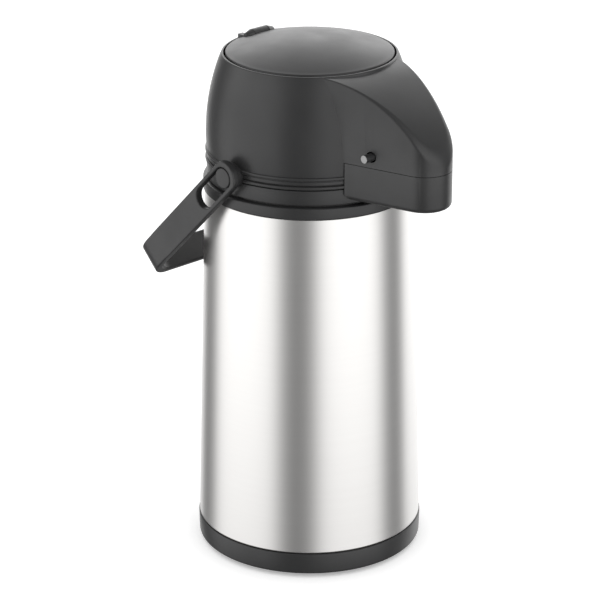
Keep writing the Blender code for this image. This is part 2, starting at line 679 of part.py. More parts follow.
def make_spout_cover():
    """The lower half of the hood: an open tray that wraps the collar's beads."""
    high = HOOD_LOW_Z - GAP
    collar_room_r, barrel_room_r, barrel_room_z = 57.0 * MM, 56.6 * MM, 232 * MM
    nozzle_room_r = 5.6 * MM
    below, above = 200 * MM, 250 * MM
    inside_z = COVER_LOW_Z + SKIN + 4.4 * MM
    cover = add_part("spout_cover", hood_block("spout_cover", 0.0, COVER_LOW_Z, high), black_plastic())
    tray = hood_block("cover_tray", SKIN, COVER_LOW_Z + SKIN, high + MM)
    collar_room = rod_mesh("collar_room", (0, 0, below), (0, 0, above), collar_room_r, TURN_WIDE)
    barrel_room = rod_mesh("barrel_room", (0, 0, barrel_room_z), (0, 0, above), barrel_room_r, TURN_WIDE)
    nozzle_hole = rod_mesh("nozzle_hole", (0, -NOZZLE_Y, below), (0, -NOZZLE_Y, inside_z), nozzle_room_r, 24)
    cut(cover, as_cutter("cover_tray", tray), as_cutter("collar_room", collar_room))
    cut(cover, as_cutter("barrel_room", barrel_room), as_cutter("nozzle_hole", nozzle_hole))
    hole_r, sink_r = 1.8 * MM, 3.3 * MM
    sink_low, sink_high = COVER_LOW_Z - MM, COVER_LOW_Z + MM
    for word, x, y in screw_places():
        hole = rod_mesh("cover_hole", (x, y, below), (x, y, inside_z), hole_r, 12)
        sink = rod_mesh("cover_sink", (x, y, sink_low), (x, y, sink_high), sink_r, 16)
        cut(cover, as_cutter("cover_hole_" + word, hole), as_cutter("cover_sink_" + word, sink))
    smooth(cover)


def make_cover_screws():
    head_z, head_h, head_r = COVER_LOW_Z + 0.7 * MM, 1.5 * MM, 2.9 * MM
    shank_r, shank_top, point_z = 1.4 * MM, 229.5 * MM, 230.0 * MM
    profile = [(0.0, point_z), (shank_r, shank_top), (shank_r, head_z), (head_r, head_z)]
    profile += [(head_r, head_z - head_h), (0.0, head_z - head_h)]
    for word, x, y in screw_places():
        turned("cover_screw_" + word, profile, bright_wire(), closed=False, steps=16, location=(x, y, 0))


# ---- lid and pump -------------------------------------------------------------------------------------
def at_hinge(obj):
    """Move an object's origin to the lid's hinge axis, leaving its shape where it is."""
    obj.data.transform(Matrix.Translation((0, -HINGE_Y, -HINGE_Z)))
    obj.location = (0, HINGE_Y, HINGE_Z)
    return obj


def vent_holes(obj, name, low, high):
    """Six air holes round the stem of a flap valve."""
    ring_r, hole_r, count = 5.5 * MM, 1.5 * MM, 6
    for i in range(count):
        x, y = ring_r * cos(2 * pi * i / count), ring_r * sin(2 * pi * i / count)
        cut(obj, as_cutter("%s_%d" % (name, i), rod_mesh(name, (x, y, low), (x, y, high), hole_r, 10)))


def make_lid_frame():
    """The cup that holds the bellows, with an arm at the rear up to the hinge knuckle."""
    wall, floor = 2.2 * MM, 2.0 * MM
    cup = [(STEM_HOLE_R, CUP_LOW_Z + floor), (CUP_R - wall, CUP_LOW_Z + floor), (CUP_R - wall, CUP_TOP_Z),
           (CUP_R, CUP_TOP_Z), (CUP_R, CUP_LOW_Z), (STEM_HOLE_R, CUP_LOW_Z)]
    frame = turned("lid_frame", cup, inner_plastic(), steps=TURN_WIDE)
    at_hinge(frame)
    arm_half, arm_y, arm_out = KNUCKLE_HALF - 0.5 * MM, HINGE_Y, HINGE_Y + 2.8 * MM
    foot_y, foot_low, foot_high = 34.6 * MM, CUP_LOW_Z + MM, CUP_LOW_Z + 4.5 * MM
    foot = box_mesh("arm_foot", (-arm_half, foot_y, foot_low), (arm_half, arm_out, foot_high))
    arm = box_mesh("arm", (-arm_half, arm_y, foot_low + 0.5 * MM), (arm_half, arm_out, HINGE_Z))
    knuckle = rod_mesh("knuckle", (-KNUCKLE_HALF, HINGE_Y, HINGE_Z), (KNUCKLE_HALF, HINGE_Y, HINGE_Z),
                       KNUCKLE_R, 24)
    reach = KNUCKLE_HALF + 2 * MM
    hole = rod_mesh("knuckle_hole", (-reach, HINGE_Y, HINGE_Z), (reach, HINGE_Y, HINGE_Z), HINGE_BORE_R, 16)
    join(frame, as_cutter("arm_foot", foot), as_cutter("arm", arm), as_cutter("knuckle", knuckle))
    cut(frame, as_cutter("knuckle_hole", hole))
    vent_holes(frame, "frame_vent", CUP_LOW_Z - MM, CUP_LOW_Z + floor + MM)


def flap_valve(name, face_z):
    """A mushroom flap: a thin disc under a plate, held by a stem with a barb."""
    barb_r, stem_r, disc_r, centre_r = 1.9 * MM, 1.1 * MM, 8.2 * MM, 2.0 * MM
    barb_low, barb_high, tip = face_z + 2.4 * MM, face_z + 2.9 * MM, face_z + 4.6 * MM
    disc_edge, disc_low = face_z - 0.9 * MM, face_z - 1.5 * MM
    profile = [(0.0, tip), (barb_r, barb_high), (barb_r, barb_low), (stem_r, barb_low), (stem_r, face_z - GAP)]
    profile += [(disc_r, face_z - GAP), (disc_r, disc_edge), (centre_r, disc_low), (0.0, disc_low)]
    return turned(name, profile, rubber(), closed=False, steps=20)


def make_lid_seal():
    """A hollow cone under the cup, the gasket on its lower face and the outlet flap inside it."""
    wall = 2.0 * MM
    high, low = CUP_LOW_Z - GAP, SEAT_Z + 3.0 * MM
    r_high, r_low, r_hole = 33.0 * MM, 24.8 * MM, 19.0 * MM
    cone = [(r_high, high), (r_low, low + wall), (r_low, low), (r_hole, low), (r_hole, low + wall)]
    cone += [(r_low - wall, low + 1.6 * wall), (r_high - 1.7 * wall, high)]
    at_hinge(turned("lid_stopper", cone, inner_plastic()))
    lip_r, lip_in, seal_low = 25.0 * MM, 22.6 * MM, SEAT_Z + GAP
    gasket = [(lip_r - 0.4 * MM, low - GAP), (lip_r, seal_low + 0.9 * MM), (lip_r - 0.6 * MM, seal_low)]
    gasket += [(lip_in, seal_low), (r_hole + 0.5 * MM, low - GAP)]
    at_hinge(turned("lid_gasket", gasket, rubber()))
    at_hinge(flap_valve("outlet_flap", CUP_LOW_Z))


def make_bellows():
    """A thin corrugated sleeve with a flat rim at each end."""
    low, high = CUP_LOW_Z + 2.3 * MM, PLATE_LOW_Z - GAP
    wall, folds = 1.0 * MM, 4
    crest, root, hole_r = 31.0 * MM, 26.0 * MM, 21.5 * MM
    pitch = (high - low - 2 * wall) / folds
    outside = []
    for i in range(folds):
        base = high - wall - i * pitch
        outside += [(root, base), (crest, base - 0.5 * pitch)]
    outside.append((root, low + wall))
    inside = [(r - 1.3 * wall, z) for r, z in reversed(outside)]
    inside = [(r, min(max(z, low + wall), high - wall)) for r, z in inside]
    profile = [(hole_r, high), (root, high)] + outside[1:-1]
    profile += [(root, low), (hole_r, low), (hole_r, low + wall)] + inside + [(hole_r, high - wall)]
    at_hinge(turned("pump_bellows", profile, rubber()))


def make_spring():
    coils, points, radius, wire = 5, 12, 18.6 * MM, 0.7 * MM
    low, high = CUP_LOW_Z + 2.4 * MM + wire, PLATE_LOW_Z - GAP - wire
    steps = coils * points
    path = []
    for i in range(steps + 1):
        turn = 2 * pi * i / points
        path.append((radius * cos(turn), radius * sin(turn), low + (high - low) * i / steps))
    spring = add_part("return_spring", wire_mesh("return_spring", path, wire, 1), bright_wire())
    at_hinge(spring)
    smooth(spring)


def crown_z(r):
    """Height of the button's crown at a radius."""
    sphere = (BUTTON_R ** 2 + BUTTON_CROWN ** 2) / (2 * BUTTON_CROWN)
    return BUTTON_EDGE_Z + BUTTON_CROWN - sphere + sqrt(sphere ** 2 - r ** 2)


def make_button():
    """A shallow crown with a short outer skirt, a guide skirt over the cup and a push ring."""
    skin, skirt_low, guide_low = 2.0 * MM, 275.0 * MM, CUP_TOP_Z + 2 * GAP
    guide_in = CUP_R + GAP
    guide_out = guide_in + 1.8 * MM
    push_in, push_out, push_low = 13.0 * MM, 15.0 * MM, PLATE_LOW_Z + PLATE_T + GAP
    radii = [0.0, 12 * MM, 24 * MM, 34 * MM, 41 * MM]
    crown = [(r, crown_z(r)) for r in radii]
    crown += [(BUTTON_R - 0.8 * MM, BUTTON_EDGE_Z + 0.2 * MM), (BUTTON_R, BUTTON_EDGE_Z - 0.6 * MM)]
    under = [(BUTTON_R, skirt_low), (BUTTON_R - skin, skirt_low), (BUTTON_R - skin, crown_z(BUTTON_R) - skin)]
    under += [(guide_out, crown_z(guide_out) - skin), (guide_out, guide_low), (guide_in, guide_low)]
    under += [(guide_in, crown_z(guide_in) - skin), (push_out, crown_z(push_out) - skin)]
    under += [(push_out, push_low), (push_in, push_low), (push_in, crown_z(push_in) - skin)]
    under += [(0.0, crown_z(0.0) - skin)]
    button = turned("press_button", crown + under, black_plastic(), closed=False, steps=TURN_WIDE)
    notch_y, arm_half = HINGE_Y - KNUCKLE_R - 0.6 * MM, KNUCKLE_HALF + 0.5 * MM
    below, above, behind = 260 * MM, 300 * MM, 60 * MM
    hinge_room = box_mesh("hinge_room", (-NOTCH_HALF, notch_y, below), (NOTCH_HALF, behind, above))
    arm_room = box_mesh("arm_room", (-arm_half, 30 * MM, below), (arm_half, 45 * MM, 281.5 * MM))
    cut(button, as_cutter("hinge_room", hinge_room), as_cutter("arm_room", arm_room))


def make_plunger():
    """The plate that presses on bellows and spring, and the inlet flap under it."""
    plate_r = 20.4 * MM
    plate = ring_profile(STEM_HOLE_R, plate_r, PLATE_LOW_Z, PLATE_LOW_Z + PLATE_T)
    top = turned("plunger_plate", plate, inner_plastic())
    vent_holes(top, "plate_vent", PLATE_LOW_Z - MM, PLATE_LOW_Z + PLATE_T + MM)
    flap_valve("inlet_flap", PLATE_LOW_Z)


# ---- handle -------------------------------------------------------------------------------------------
def side_outline():
    """The handle from the side: round at the pivot, blunt with small corners at the grip."""
    corner = 1.2 * MM
    end_half = ARM_HALF_W - 0.4 * MM
    points = arc((0.0, 0.0), ARM_TIP_R, 115, 245, 9)   # the tip swells a little beyond the arm's sides
    points += [(ARM_TIP_R, -ARM_HALF_W)]
    points += arc((HANDLE_REACH - corner, -end_half + corner), corner, -90, 0, 2)
    points += arc((HANDLE_REACH - corner, end_half - corner), corner, 0, 90, 2)
    points += [(ARM_TIP_R, ARM_HALF_W)]
    return points


def slot_outline():
    ends = arc((0.0, 0.0), SLOT_R, 90, 270, 8)
    return ends + arc((SLOT_LENGTH, 0.0), SLOT_R, -90, 90, 8)


def bow_outline():
    """The handle from the front: a strip bent into two arms and a straight grip."""
    bend_x, bend_y = ARM_OUTER_X - BEND_R, HANDLE_REACH - BEND_R
    arm_end = -ARM_TIP_R - MM
    bend_steps = 7
    outside = [(ARM_OUTER_X, arm_end), *arc((bend_x, bend_y), BEND_R, 0, 90, bend_steps)]
    inside = [(ARM_OUTER_X - ARM_T, arm_end), *arc((bend_x, bend_y), BEND_R - ARM_T, 0, 90, bend_steps)]
    half = outside[::-1] + inside
    return half + [(-x, y) for x, y in reversed(half)]


def make_handle():
    """Two slotted arms and a grip in one moulding: a bent strip, trimmed to its outline from the side."""
    side_on = Matrix(((0, 0, 1, 0), (1, 0, 0, 0), (0, 1, 0, 0), (0, 0, 0, 1)))
    past = 5 * MM
    bow = outline_mesh("carry_handle", [bow_outline()], 2 * (ARM_TIP_R + past))
    handle = add_part("carry_handle", bow, black_plastic())
    trim = outline_mesh("handle_trim", [side_outline(), slot_outline()], 2 * (ARM_OUTER_X + past))
    trim.transform(side_on)
    trim_object = as_cutter("handle_trim", trim)
    for obj in (handle, trim_object):
        obj.location = (0.0, 0.0, HANDLE_Z)
        obj.rotation_euler = (-HANDLE_REST, 0.0, 0.0)
    boolean(handle, trim_object, "INTERSECT")


def main():
    global PARTS, CUTTERS
    clear_scene()
    PARTS = new_collection("thermal_airpot")
    CUTTERS = new_collection("cutters")
    make_base()
    make_outer_shell()
    make_liner()
    make_neck()
    make_collar()
    make_delivery()
    make_shutoff_pin()
    make_head_shell()
    make_hinge_pin()
    make_spout_cover()
    make_cover_screws()
    make_lid_frame()
    make_lid_seal()
    make_bellows()
    make_spring()
    make_button()
    make_plunger()
    make_handle()


main()
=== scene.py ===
"""Thermal coffee airpot: the finished look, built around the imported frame.

Fine meshes stand in for the frame's plain solids, in the same places and at the same sizes. Heights and
radii that neighbours share are read from the frame; fillets, beads, folds and textures are named here.
Lengths are in metres and written in millimetres times MM. The spout points to -Y.
"""

import json
from math import atan2, cos, degrees, hypot, pi, radians, sin, sqrt, tan

import bmesh
import bpy
from mathutils import Matrix, Vector


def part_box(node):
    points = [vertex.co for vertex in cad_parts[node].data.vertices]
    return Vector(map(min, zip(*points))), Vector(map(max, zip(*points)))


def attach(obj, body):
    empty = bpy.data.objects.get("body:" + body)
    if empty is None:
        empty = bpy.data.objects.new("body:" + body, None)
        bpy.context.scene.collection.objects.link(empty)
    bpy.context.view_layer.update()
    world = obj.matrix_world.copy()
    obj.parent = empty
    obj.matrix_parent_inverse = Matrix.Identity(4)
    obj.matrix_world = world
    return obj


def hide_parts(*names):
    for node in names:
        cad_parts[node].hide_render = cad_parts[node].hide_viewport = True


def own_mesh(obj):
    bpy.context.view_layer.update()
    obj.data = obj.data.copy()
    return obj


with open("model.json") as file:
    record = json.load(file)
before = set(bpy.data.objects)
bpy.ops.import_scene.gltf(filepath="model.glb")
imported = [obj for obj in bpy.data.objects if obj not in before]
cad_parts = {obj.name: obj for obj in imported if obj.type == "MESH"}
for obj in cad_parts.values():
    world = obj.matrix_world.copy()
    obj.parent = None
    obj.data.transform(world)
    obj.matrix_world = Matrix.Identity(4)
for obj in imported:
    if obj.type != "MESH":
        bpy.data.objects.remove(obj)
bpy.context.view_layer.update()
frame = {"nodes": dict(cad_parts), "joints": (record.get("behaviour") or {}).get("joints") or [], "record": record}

MM = 0.001
GAP = 0.3 * MM                       # clearance between neighbouring pieces


# ---- what the frame says --------------------------------------------------------------------------
def low(node):
    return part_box(node)[0]


def high(node):
    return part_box(node)[1]


def radius_near(node, z, within=0.35 * MM):
    """Largest radius, about the pot's axis, of a node's points near a height."""
    points = frame["nodes"][node].data.vertices
    return max(hypot(p.co.x, p.co.y) for p in points if abs(p.co.z - z) < within)


RECORD = frame["record"]
NODE_BODY = {node: body for body, nodes in RECORD["behaviour"]["bodies"].items() for node in nodes}
NODE_SLOT = {part["node"]: part["material_slot"] for part in RECORD["subparts"]}
JOINT = {joint["name"]: joint for joint in frame["joints"]}

# ---- driving dimensions ---------------------------------------------------------------------------
BASE_R = high("base_ring").x
SHELL_LOW_Z = low("outer_shell").z
SHELL_TOP_Z = high("outer_shell").z
SHELL_R_LOW = radius_near("outer_shell", SHELL_LOW_Z)
SHELL_R_HIGH = radius_near("outer_shell", SHELL_TOP_Z)
BASE_H = SHELL_LOW_Z - GAP
SCREW_CAP_R = 27.0 * MM              # opening in the base's floor
FOOT_R = 56.5 * MM                   # recessed foot that the base stands on
FOOT_H = 1.9 * MM
CAP_RING_Z = high("base_screw_cap").z
LINER_LOW_Z = low("vacuum_liner").z
LINER_TOP_Z = high("vacuum_liner").z
LINER_R = high("vacuum_liner").x
GLASS = 1.2 * MM
LINER_WALL = 5.0 * MM                # two glass walls and the vacuum between them
NECK_R = 17.0 * MM
SPIGOT_TOP_Z = high("collar").z
SPIGOT_R = 51.9 * MM
COLLAR_TOP_Z = 233.4 * MM
SHELF_Z = 217.0 * MM
SEAT_Z = high("neck_funnel").z
ELBOW_Z = 224.2 * MM
HEAD_LOW_Z = low("head_shell").z
RIM_Z = 282.6 * MM                   # top of the head, around the push button
RIM_R_IN = 46.4 * MM
RIM_R = RIM_R_IN + 1.1 * MM
SWELL_R = 56.2 * MM                  # widest ring of the barrel
SWELL_Z = 239.0 * MM
SKIN = 2.0 * MM                      # wall of the head and of the spout hood
COVER_LOW_Z = low("spout_cover").z
HOOD_LOW_Z = high("spout_cover").z + GAP
NOSE_R = 14.5 * MM
NOSE_Y = -low("head_shell").y - NOSE_R
HOOD_SIDE_ANGLE = radians(14.7)
HOOD_ROOT_Y = 30.0 * MM              # where the hood's sides start, inside the barrel
HOOD_TOP_R = 78.4 * MM               # arc of the hood's top, seen from the side
HOOD_TOP_Y = 34.6 * MM
HOOD_TOP_Z = RIM_Z - 0.4 * MM - HOOD_TOP_R
RIDGE_ROOT = 0.8 * MM                # rounding where the hood's side turns into its top, near the rim
RIDGE_NOSE = 4.6 * MM                # the same at the nose
HINGE_Y = JOINT["lid_hinge"]["pos_m"][1]
HINGE_Z = JOINT["lid_hinge"]["pos_m"][2]
KNUCKLE_R = 3.2 * MM
KNUCKLE_HALF = 5.2 * MM
HINGE_BORE_R = 1.5 * MM
BUTTON_R = high("press_button").x
BUTTON_TOP_Z = high("press_button").z
BUTTON_CROWN = 7.35 * MM
BUTTON_EDGE_Z = BUTTON_TOP_Z - BUTTON_CROWN
NOTCH_HALF = 10.9 * MM               # notch in the button's rear, round the hinge
CUP_R = high("lid_frame").x
CUP_LOW_Z = low("lid_frame").z
CUP_TOP_Z = 265.0 * MM
PLATE_LOW_Z = low("plunger_plate").z
PLATE_T = high("plunger_plate").z - PLATE_LOW_Z
STEM_HOLE_R = 1.5 * MM
PIN_Y = 67.1 * MM                    # shut-off pin, ahead of the axis
PIN_Z = 244.1 * MM
PIN_R = 2.2 * MM
PIN_HOLE_R = 3.0 * MM
NOZZLE_Y = PIN_Y + 17.0 * MM
HANDLE_Z = JOINT["handle_swing"]["pos_m"][2]
HANDLE_REST = radians(45.0)          # arms point down and back at rest
ARM_OUTER_X = high("carry_handle").x
ARM_T = 4.5 * MM
ARM_HALF_W = 8.4 * MM
ARM_TIP_R = 9.2 * MM
HANDLE_REACH = 97.0 * MM             # pivots to the grip's outer face
BEND_R = 15.9 * MM                   # outside of the bends between arms and grip
BOSS_R = 5.55 * MM
SLOT_R = 6.0 * MM
SLOT_LENGTH = 21.0 * MM

TURN = 96                            # steps of a small turned piece
TURN_WIDE = 192                      # steps of a wide turned piece


# ---- outlines -------------------------------------------------------------------------------------
def arc(centre, radius, start, end, steps):
    """Points of an arc in a plane; angles in degrees."""
    turns = [radians(start + (end - start) * i / steps) for i in range(steps + 1)]
    return [(centre[0] + radius * cos(t), centre[1] + radius * sin(t)) for t in turns]


def rounded(corners, steps=5):
    """A closed outline in which each corner (x, y, radius) becomes an arc and (x, y) stays sharp."""
    points = []
    for i, corner in enumerate(corners):
        here = Vector(corner[:2])
        if len(corner) == 2:
            points.append(tuple(here))
            continue
        before = (Vector(corners[i - 1][:2]) - here).normalized()
        after = (Vector(corners[(i + 1) % len(corners)][:2]) - here).normalized()
        half = before.angle(after) / 2
        centre = here + (before + after).normalized() * corner[2] / sin(half)
        first = here + before * corner[2] / tan(half) - centre
        last = here + after * corner[2] / tan(half) - centre
        start = degrees(atan2(first.y, first.x))
        swing = (degrees(atan2(last.y, last.x)) - start + 180.0) % 360.0 - 180.0
        points += arc(centre, corner[2], start, start + swing, steps)
    return points


# ---- meshes ---------------------------------------------------------------------------------------
def mesh_from(bm, name):
    mesh = bpy.data.meshes.new(name)
    bm.to_mesh(mesh)
    bm.free()
    return mesh


def linked(name, mesh):
    obj = bpy.data.objects.new(name, mesh)
    bpy.context.scene.collection.objects.link(obj)
    return obj


def applied(obj):
    """The mesh of an object with its modifiers applied; the object is used up."""
    bpy.context.view_layer.update()
    graph = bpy.context.evaluated_depsgraph_get()
    mesh = bpy.data.meshes.new_from_object(obj.evaluated_get(graph))
    bpy.data.objects.remove(obj, do_unlink=True)
    return mesh


def turned(name, profile, closed=True, steps=TURN_WIDE):
    """A profile of (radius, height), down its outer side, turned once about Z."""
    bm = bmesh.new()
    points = [bm.verts.new((r, 0.0, z)) for r, z in profile]
    pairs = list(zip(points, points[1:]))
    if closed:
        pairs.append((points[-1], points[0]))
    edges = [bm.edges.new(pair) for pair in pairs]
    bmesh.ops.spin(bm, geom=points + edges, axis=(0, 0, 1), cent=(0, 0, 0), angle=2 * pi, steps=steps,
                   use_merge=True)
    bmesh.ops.remove_doubles(bm, verts=bm.verts, dist=0.000002)
    bmesh.ops.recalc_face_normals(bm, faces=bm.faces)
    return mesh_from(bm, name)


def ring(name, r_in, r_out, z_low, z_high, edge=0.3 * MM, steps=TURN):
    """A plain ring with small rounded edges."""
    corners = [(r_out, z_high, edge), (r_out, z_low, edge), (r_in, z_low, edge), (r_in, z_high, edge)]
    return turned(name, rounded(corners, 3), steps=steps)


def laid_along(mesh, start, end):
    """Turn a mesh modelled upwards from its own origin so that it runs from start towards end."""
    start, end = Vector(start), Vector(end)
    mesh.transform(Matrix.Translation(start) @ (end - start).to_track_quat("Z", "Y").to_matrix().to_4x4())
    return mesh


def rod(name, start, end, radius, edge=0.0, steps=TURN // 2, radius_end=None):
    """A round bar between two points, its far edge rounded."""
    length = (Vector(end) - Vector(start)).length
    r_end = radius if radius_end is None else radius_end
    far = [(r_end, length, edge)] if edge else [(r_end, length)]
    outline = rounded([(0.0, length), *far, (radius, 0.0), (0.0, 0.0)], 4)
    return laid_along(turned(name, outline, closed=False, steps=steps), start, end)


def box(name, near, far):
    near, far = Vector(near), Vector(far)
    place = Matrix.Translation((near + far) / 2) @ Matrix.Diagonal((*(far - near), 1.0))
    bm = bmesh.new()
    bmesh.ops.create_cube(bm, size=1.0, matrix=place)
    return mesh_from(bm, name)


def combine(mesh, other, operation):
    """Boolean of two meshes; both are used up."""
    obj, tool = linked("operand", mesh), linked("tool", other)
    step = obj.modifiers.new("step", "BOOLEAN")
    step.operation = operation
    step.solver = "EXACT"
    step.object = tool
    result = applied(obj)
    bpy.data.objects.remove(tool, do_unlink=True)
    return result


def cut(mesh, *others):
    for other in others:
        mesh = combine(mesh, other, "DIFFERENCE")
    return mesh


def join(mesh, *others):
    for other in others:
        mesh = combine(mesh, other, "UNION")
    return mesh


def slab(name, loops, thickness):
    """A flat outline, with holes, as a slab centred on its own XY plane."""
    curve = bpy.data.curves.new(name, "CURVE")
    curve.dimensions = "2D"
    curve.fill_mode = "BOTH"
    curve.extrude = thickness / 2
    for loop in loops:
        spline = curve.splines.new("POLY")
        spline.points.add(len(loop) - 1)
        for point, (x, y) in zip(spline.points, loop):
            point.co = (x, y, 0.0, 1.0)
        spline.use_cyclic_u = True
    return welded(applied(linked(name, curve)), name)


def welded(mesh, name):
    bm = bmesh.new()
    bm.from_mesh(mesh)
    bmesh.ops.remove_doubles(bm, verts=bm.verts, dist=0.000002)
    bmesh.ops.recalc_face_normals(bm, faces=bm.faces)
    return mesh_from(bm, name)


def edges_rounded(mesh, width, segments=3):
    """Every edge sharper than 40 degrees gets a rounding."""
    obj = linked("bevelled", mesh)
    step = obj.modifiers.new("round", "BEVEL")
    step.width = width
    step.segments = segments
    step.limit_method = "ANGLE"
    step.angle_limit = radians(40.0)
    return applied(obj)


def fused(meshes, voxel, passes):
    """Overlapping meshes melted into one skin, with soft inner and outer corners."""
    bm = bmesh.new()
    for mesh in meshes:
        bm.from_mesh(mesh)
    obj = linked("fused", mesh_from(bm, "fused"))
    remesh = obj.modifiers.new("skin", "REMESH")
    remesh.mode = "VOXEL"
    remesh.voxel_size = voxel
    relax = obj.modifiers.new("relax", "SMOOTH")
    relax.factor = 0.5
    relax.iterations = passes
    return applied(obj)


# ---- materials ------------------------------------------------------------------------------------
def add_node(tree, kind, inputs=None, **settings):
    """A node with its settings; an input's value may be another node's output."""
    made = tree.nodes.new(kind)
    for key, value in settings.items():
        setattr(made, key, value)
    for key, value in (inputs or {}).items():
        if isinstance(value, bpy.types.NodeSocket):
            tree.links.new(value, made.inputs[key])
        else:
            made.inputs[key].default_value = value
    return made


def new_material(name):
    material = bpy.data.materials.new(name)
    material.use_nodes = True
    tree = material.node_tree
    return material, tree, tree.nodes["Principled BSDF"]


def feed(tree, shader, **inputs):
    """Connect or set inputs of the shader; an underscore stands for a space."""
    for key, value in inputs.items():
        socket = shader.inputs[key.replace("_", " ")]
        if isinstance(value, bpy.types.NodeSocket):
            tree.links.new(value, socket)
        else:
            socket.default_value = value


def object_place(tree):
    return add_node(tree, "ShaderNodeTexCoord").outputs["Object"]


def noise(tree, place, scale, detail=3.0, roughness=0.5):
    inputs = {"Vector": place, "Scale": scale, "Detail": detail, "Roughness": roughness}
    return add_node(tree, "ShaderNodeTexNoise", inputs).outputs["Fac"]


def ranged(tree, value, from_low, from_high, to_low, to_high, kind="LINEAR"):
    inputs = {"Value": value, "From Min": from_low, "From Max": from_high, "To Min": to_low, "To Max": to_high}
    return add_node(tree, "ShaderNodeMapRange", inputs, interpolation_type=kind).outputs["Result"]


def maths(tree, operation, first, second=0.0):
    return add_node(tree, "ShaderNodeMath", {0: first, 1: second}, operation=operation).outputs["Value"]


def tint(tree, value, dark, light):
    """Two colours, mixed by a value from 0 to 1."""
    ramp = add_node(tree, "ShaderNodeValToRGB", {"Fac": value})
    ramp.color_ramp.elements[0].color = (*dark, 1.0)
    ramp.color_ramp.elements[1].color = (*light, 1.0)
    return ramp.outputs["Color"]


def bump(tree, height, strength, distance):
    inputs = {"Height": height, "Strength": strength, "Distance": distance}
    return add_node(tree, "ShaderNodeBump", inputs).outputs["Normal"]


def painted_edge_highlight(tree, colour, edge_highlight_colour, amount):
    """Lighten convex edges with a painted highlight colour."""
    pointed = add_node(tree, "ShaderNodeNewGeometry").outputs["Pointiness"]
    edge = maths(tree, "MULTIPLY", ranged(tree, pointed, 0.53, 0.62, 0.0, 1.0), amount)
    mix = add_node(tree, "ShaderNodeMix", data_type="RGBA")
    tree.links.new(edge, mix.inputs[0])
    tree.links.new(colour, mix.inputs[6])
    mix.inputs[7].default_value = (*edge_highlight_colour, 1.0)
    return mix.outputs[2]


def moulded_plastic(name, dark, light, edge_highlight_colour, roughness, grain):
    """Satin moulded plastic: fine spark-eroded grain, slow variation of tone and sheen, and a painted highlight on
    convex edges.
    """
    material, tree, shader = new_material(name)
    place = object_place(tree)
    cloud = ranged(tree, noise(tree, place, 22.0), 0.35, 0.65, 0.0, 1.0)
    patches = noise(tree, place, 60.0, 4.0)
    fine = noise(tree, place, 2600.0, 2.0)
    coarse = noise(tree, place, 900.0, 2.0)
    height = maths(tree, "ADD", fine, maths(tree, "MULTIPLY", coarse, 0.6))
    # convex edges are painted lighter: a painted highlight
    colour = painted_edge_highlight(tree, tint(tree, cloud, dark, light), edge_highlight_colour, 0.35)
    feed(tree, shader, Base_Color=colour,
         Roughness=ranged(tree, patches, 0.3, 0.7, roughness - 0.03, roughness + 0.05),
         Normal=bump(tree, height, grain, 0.05 * MM))
    return material


def brushed_steel():
    """Steel brushed round the body: long fine scratches, and a sheen that spreads across them."""
    material, tree, shader = new_material("steel_brushed_round")
    axes = add_node(tree, "ShaderNodeSeparateXYZ", {"Vector": object_place(tree)})
    angle = maths(tree, "ARCTAN2", axes.outputs["Y"], axes.outputs["X"])
    along = maths(tree, "MULTIPLY", angle, 3.0)
    across = maths(tree, "MULTIPLY", axes.outputs["Z"], 3200.0)
    brush = add_node(tree, "ShaderNodeCombineXYZ", {"X": along, "Y": across}).outputs["Vector"]
    scratches = noise(tree, brush, 1.0, 5.0, 0.65)
    streaks = noise(tree, brush, 0.12, 3.0)
    tone = maths(tree, "MULTIPLY", maths(tree, "ADD", scratches, streaks), 0.5)
    colour = tint(tree, ranged(tree, tone, 0.35, 0.65, 0.0, 1.0), (0.765, 0.755, 0.742), (0.780, 0.770, 0.757))
    tangent = add_node(tree, "ShaderNodeTangent", direction_type="RADIAL", axis="Z").outputs["Tangent"]
    feed(tree, shader, Base_Color=colour, Metallic=1.0, Anisotropic=0.55, Tangent=tangent,
         Roughness=ranged(tree, scratches, 0.3, 0.7, 0.275, 0.295),
         Normal=bump(tree, scratches, 0.03, 0.02 * MM))
    return material


def bright_metal():
    """Drawn wire and turned screws: bright, with faint drawing lines."""
    material, tree, shader = new_material("bright_drawn_metal")
    place = object_place(tree)
    lines = noise(tree, place, 1800.0, 3.0)
    colour = tint(tree, lines, (0.52, 0.52, 0.51), (0.68, 0.68, 0.67))
    feed(tree, shader, Base_Color=colour, Metallic=1.0, Roughness=ranged(tree, lines, 0.3, 0.7, 0.16, 0.3),
         Normal=bump(tree, lines, 0.1, 0.01 * MM))
    return material


def silicone():
    """Soft matt rubber, a little translucent, with a dusting of fine powder."""
    material, tree, shader = new_material("soft_silicone")
    place = object_place(tree)
    dust = ranged(tree, noise(tree, place, 140.0, 5.0), 0.4, 0.7, 0.0, 1.0)
    colour = tint(tree, dust, (0.56, 0.54, 0.50), (0.68, 0.66, 0.62))
    feed(tree, shader, Base_Color=colour, Roughness=ranged(tree, dust, 0.0, 1.0, 0.5, 0.66),
         Subsurface_Weight=0.15, Subsurface_Scale=2.0 * MM,
         Normal=bump(tree, noise(tree, place, 1500.0), 0.15, 0.04 * MM))
    return material


def silvered_glass():
    """A silver film behind glass: a mirror with faint cloudy patches."""
    material, tree, shader = new_material("silvered_flask_glass")
    place = object_place(tree)
    cloud = noise(tree, place, 35.0, 4.0)
    colour = tint(tree, ranged(tree, cloud, 0.35, 0.65, 0.0, 1.0), (0.66, 0.67, 0.68), (0.83, 0.84, 0.86))
    feed(tree, shader, Base_Color=colour, Metallic=0.95, Roughness=ranged(tree, cloud, 0.3, 0.7, 0.04, 0.12),
         Coat_Weight=0.8, Coat_Roughness=0.03, Normal=bump(tree, cloud, 0.08, 0.3 * MM))
    return material
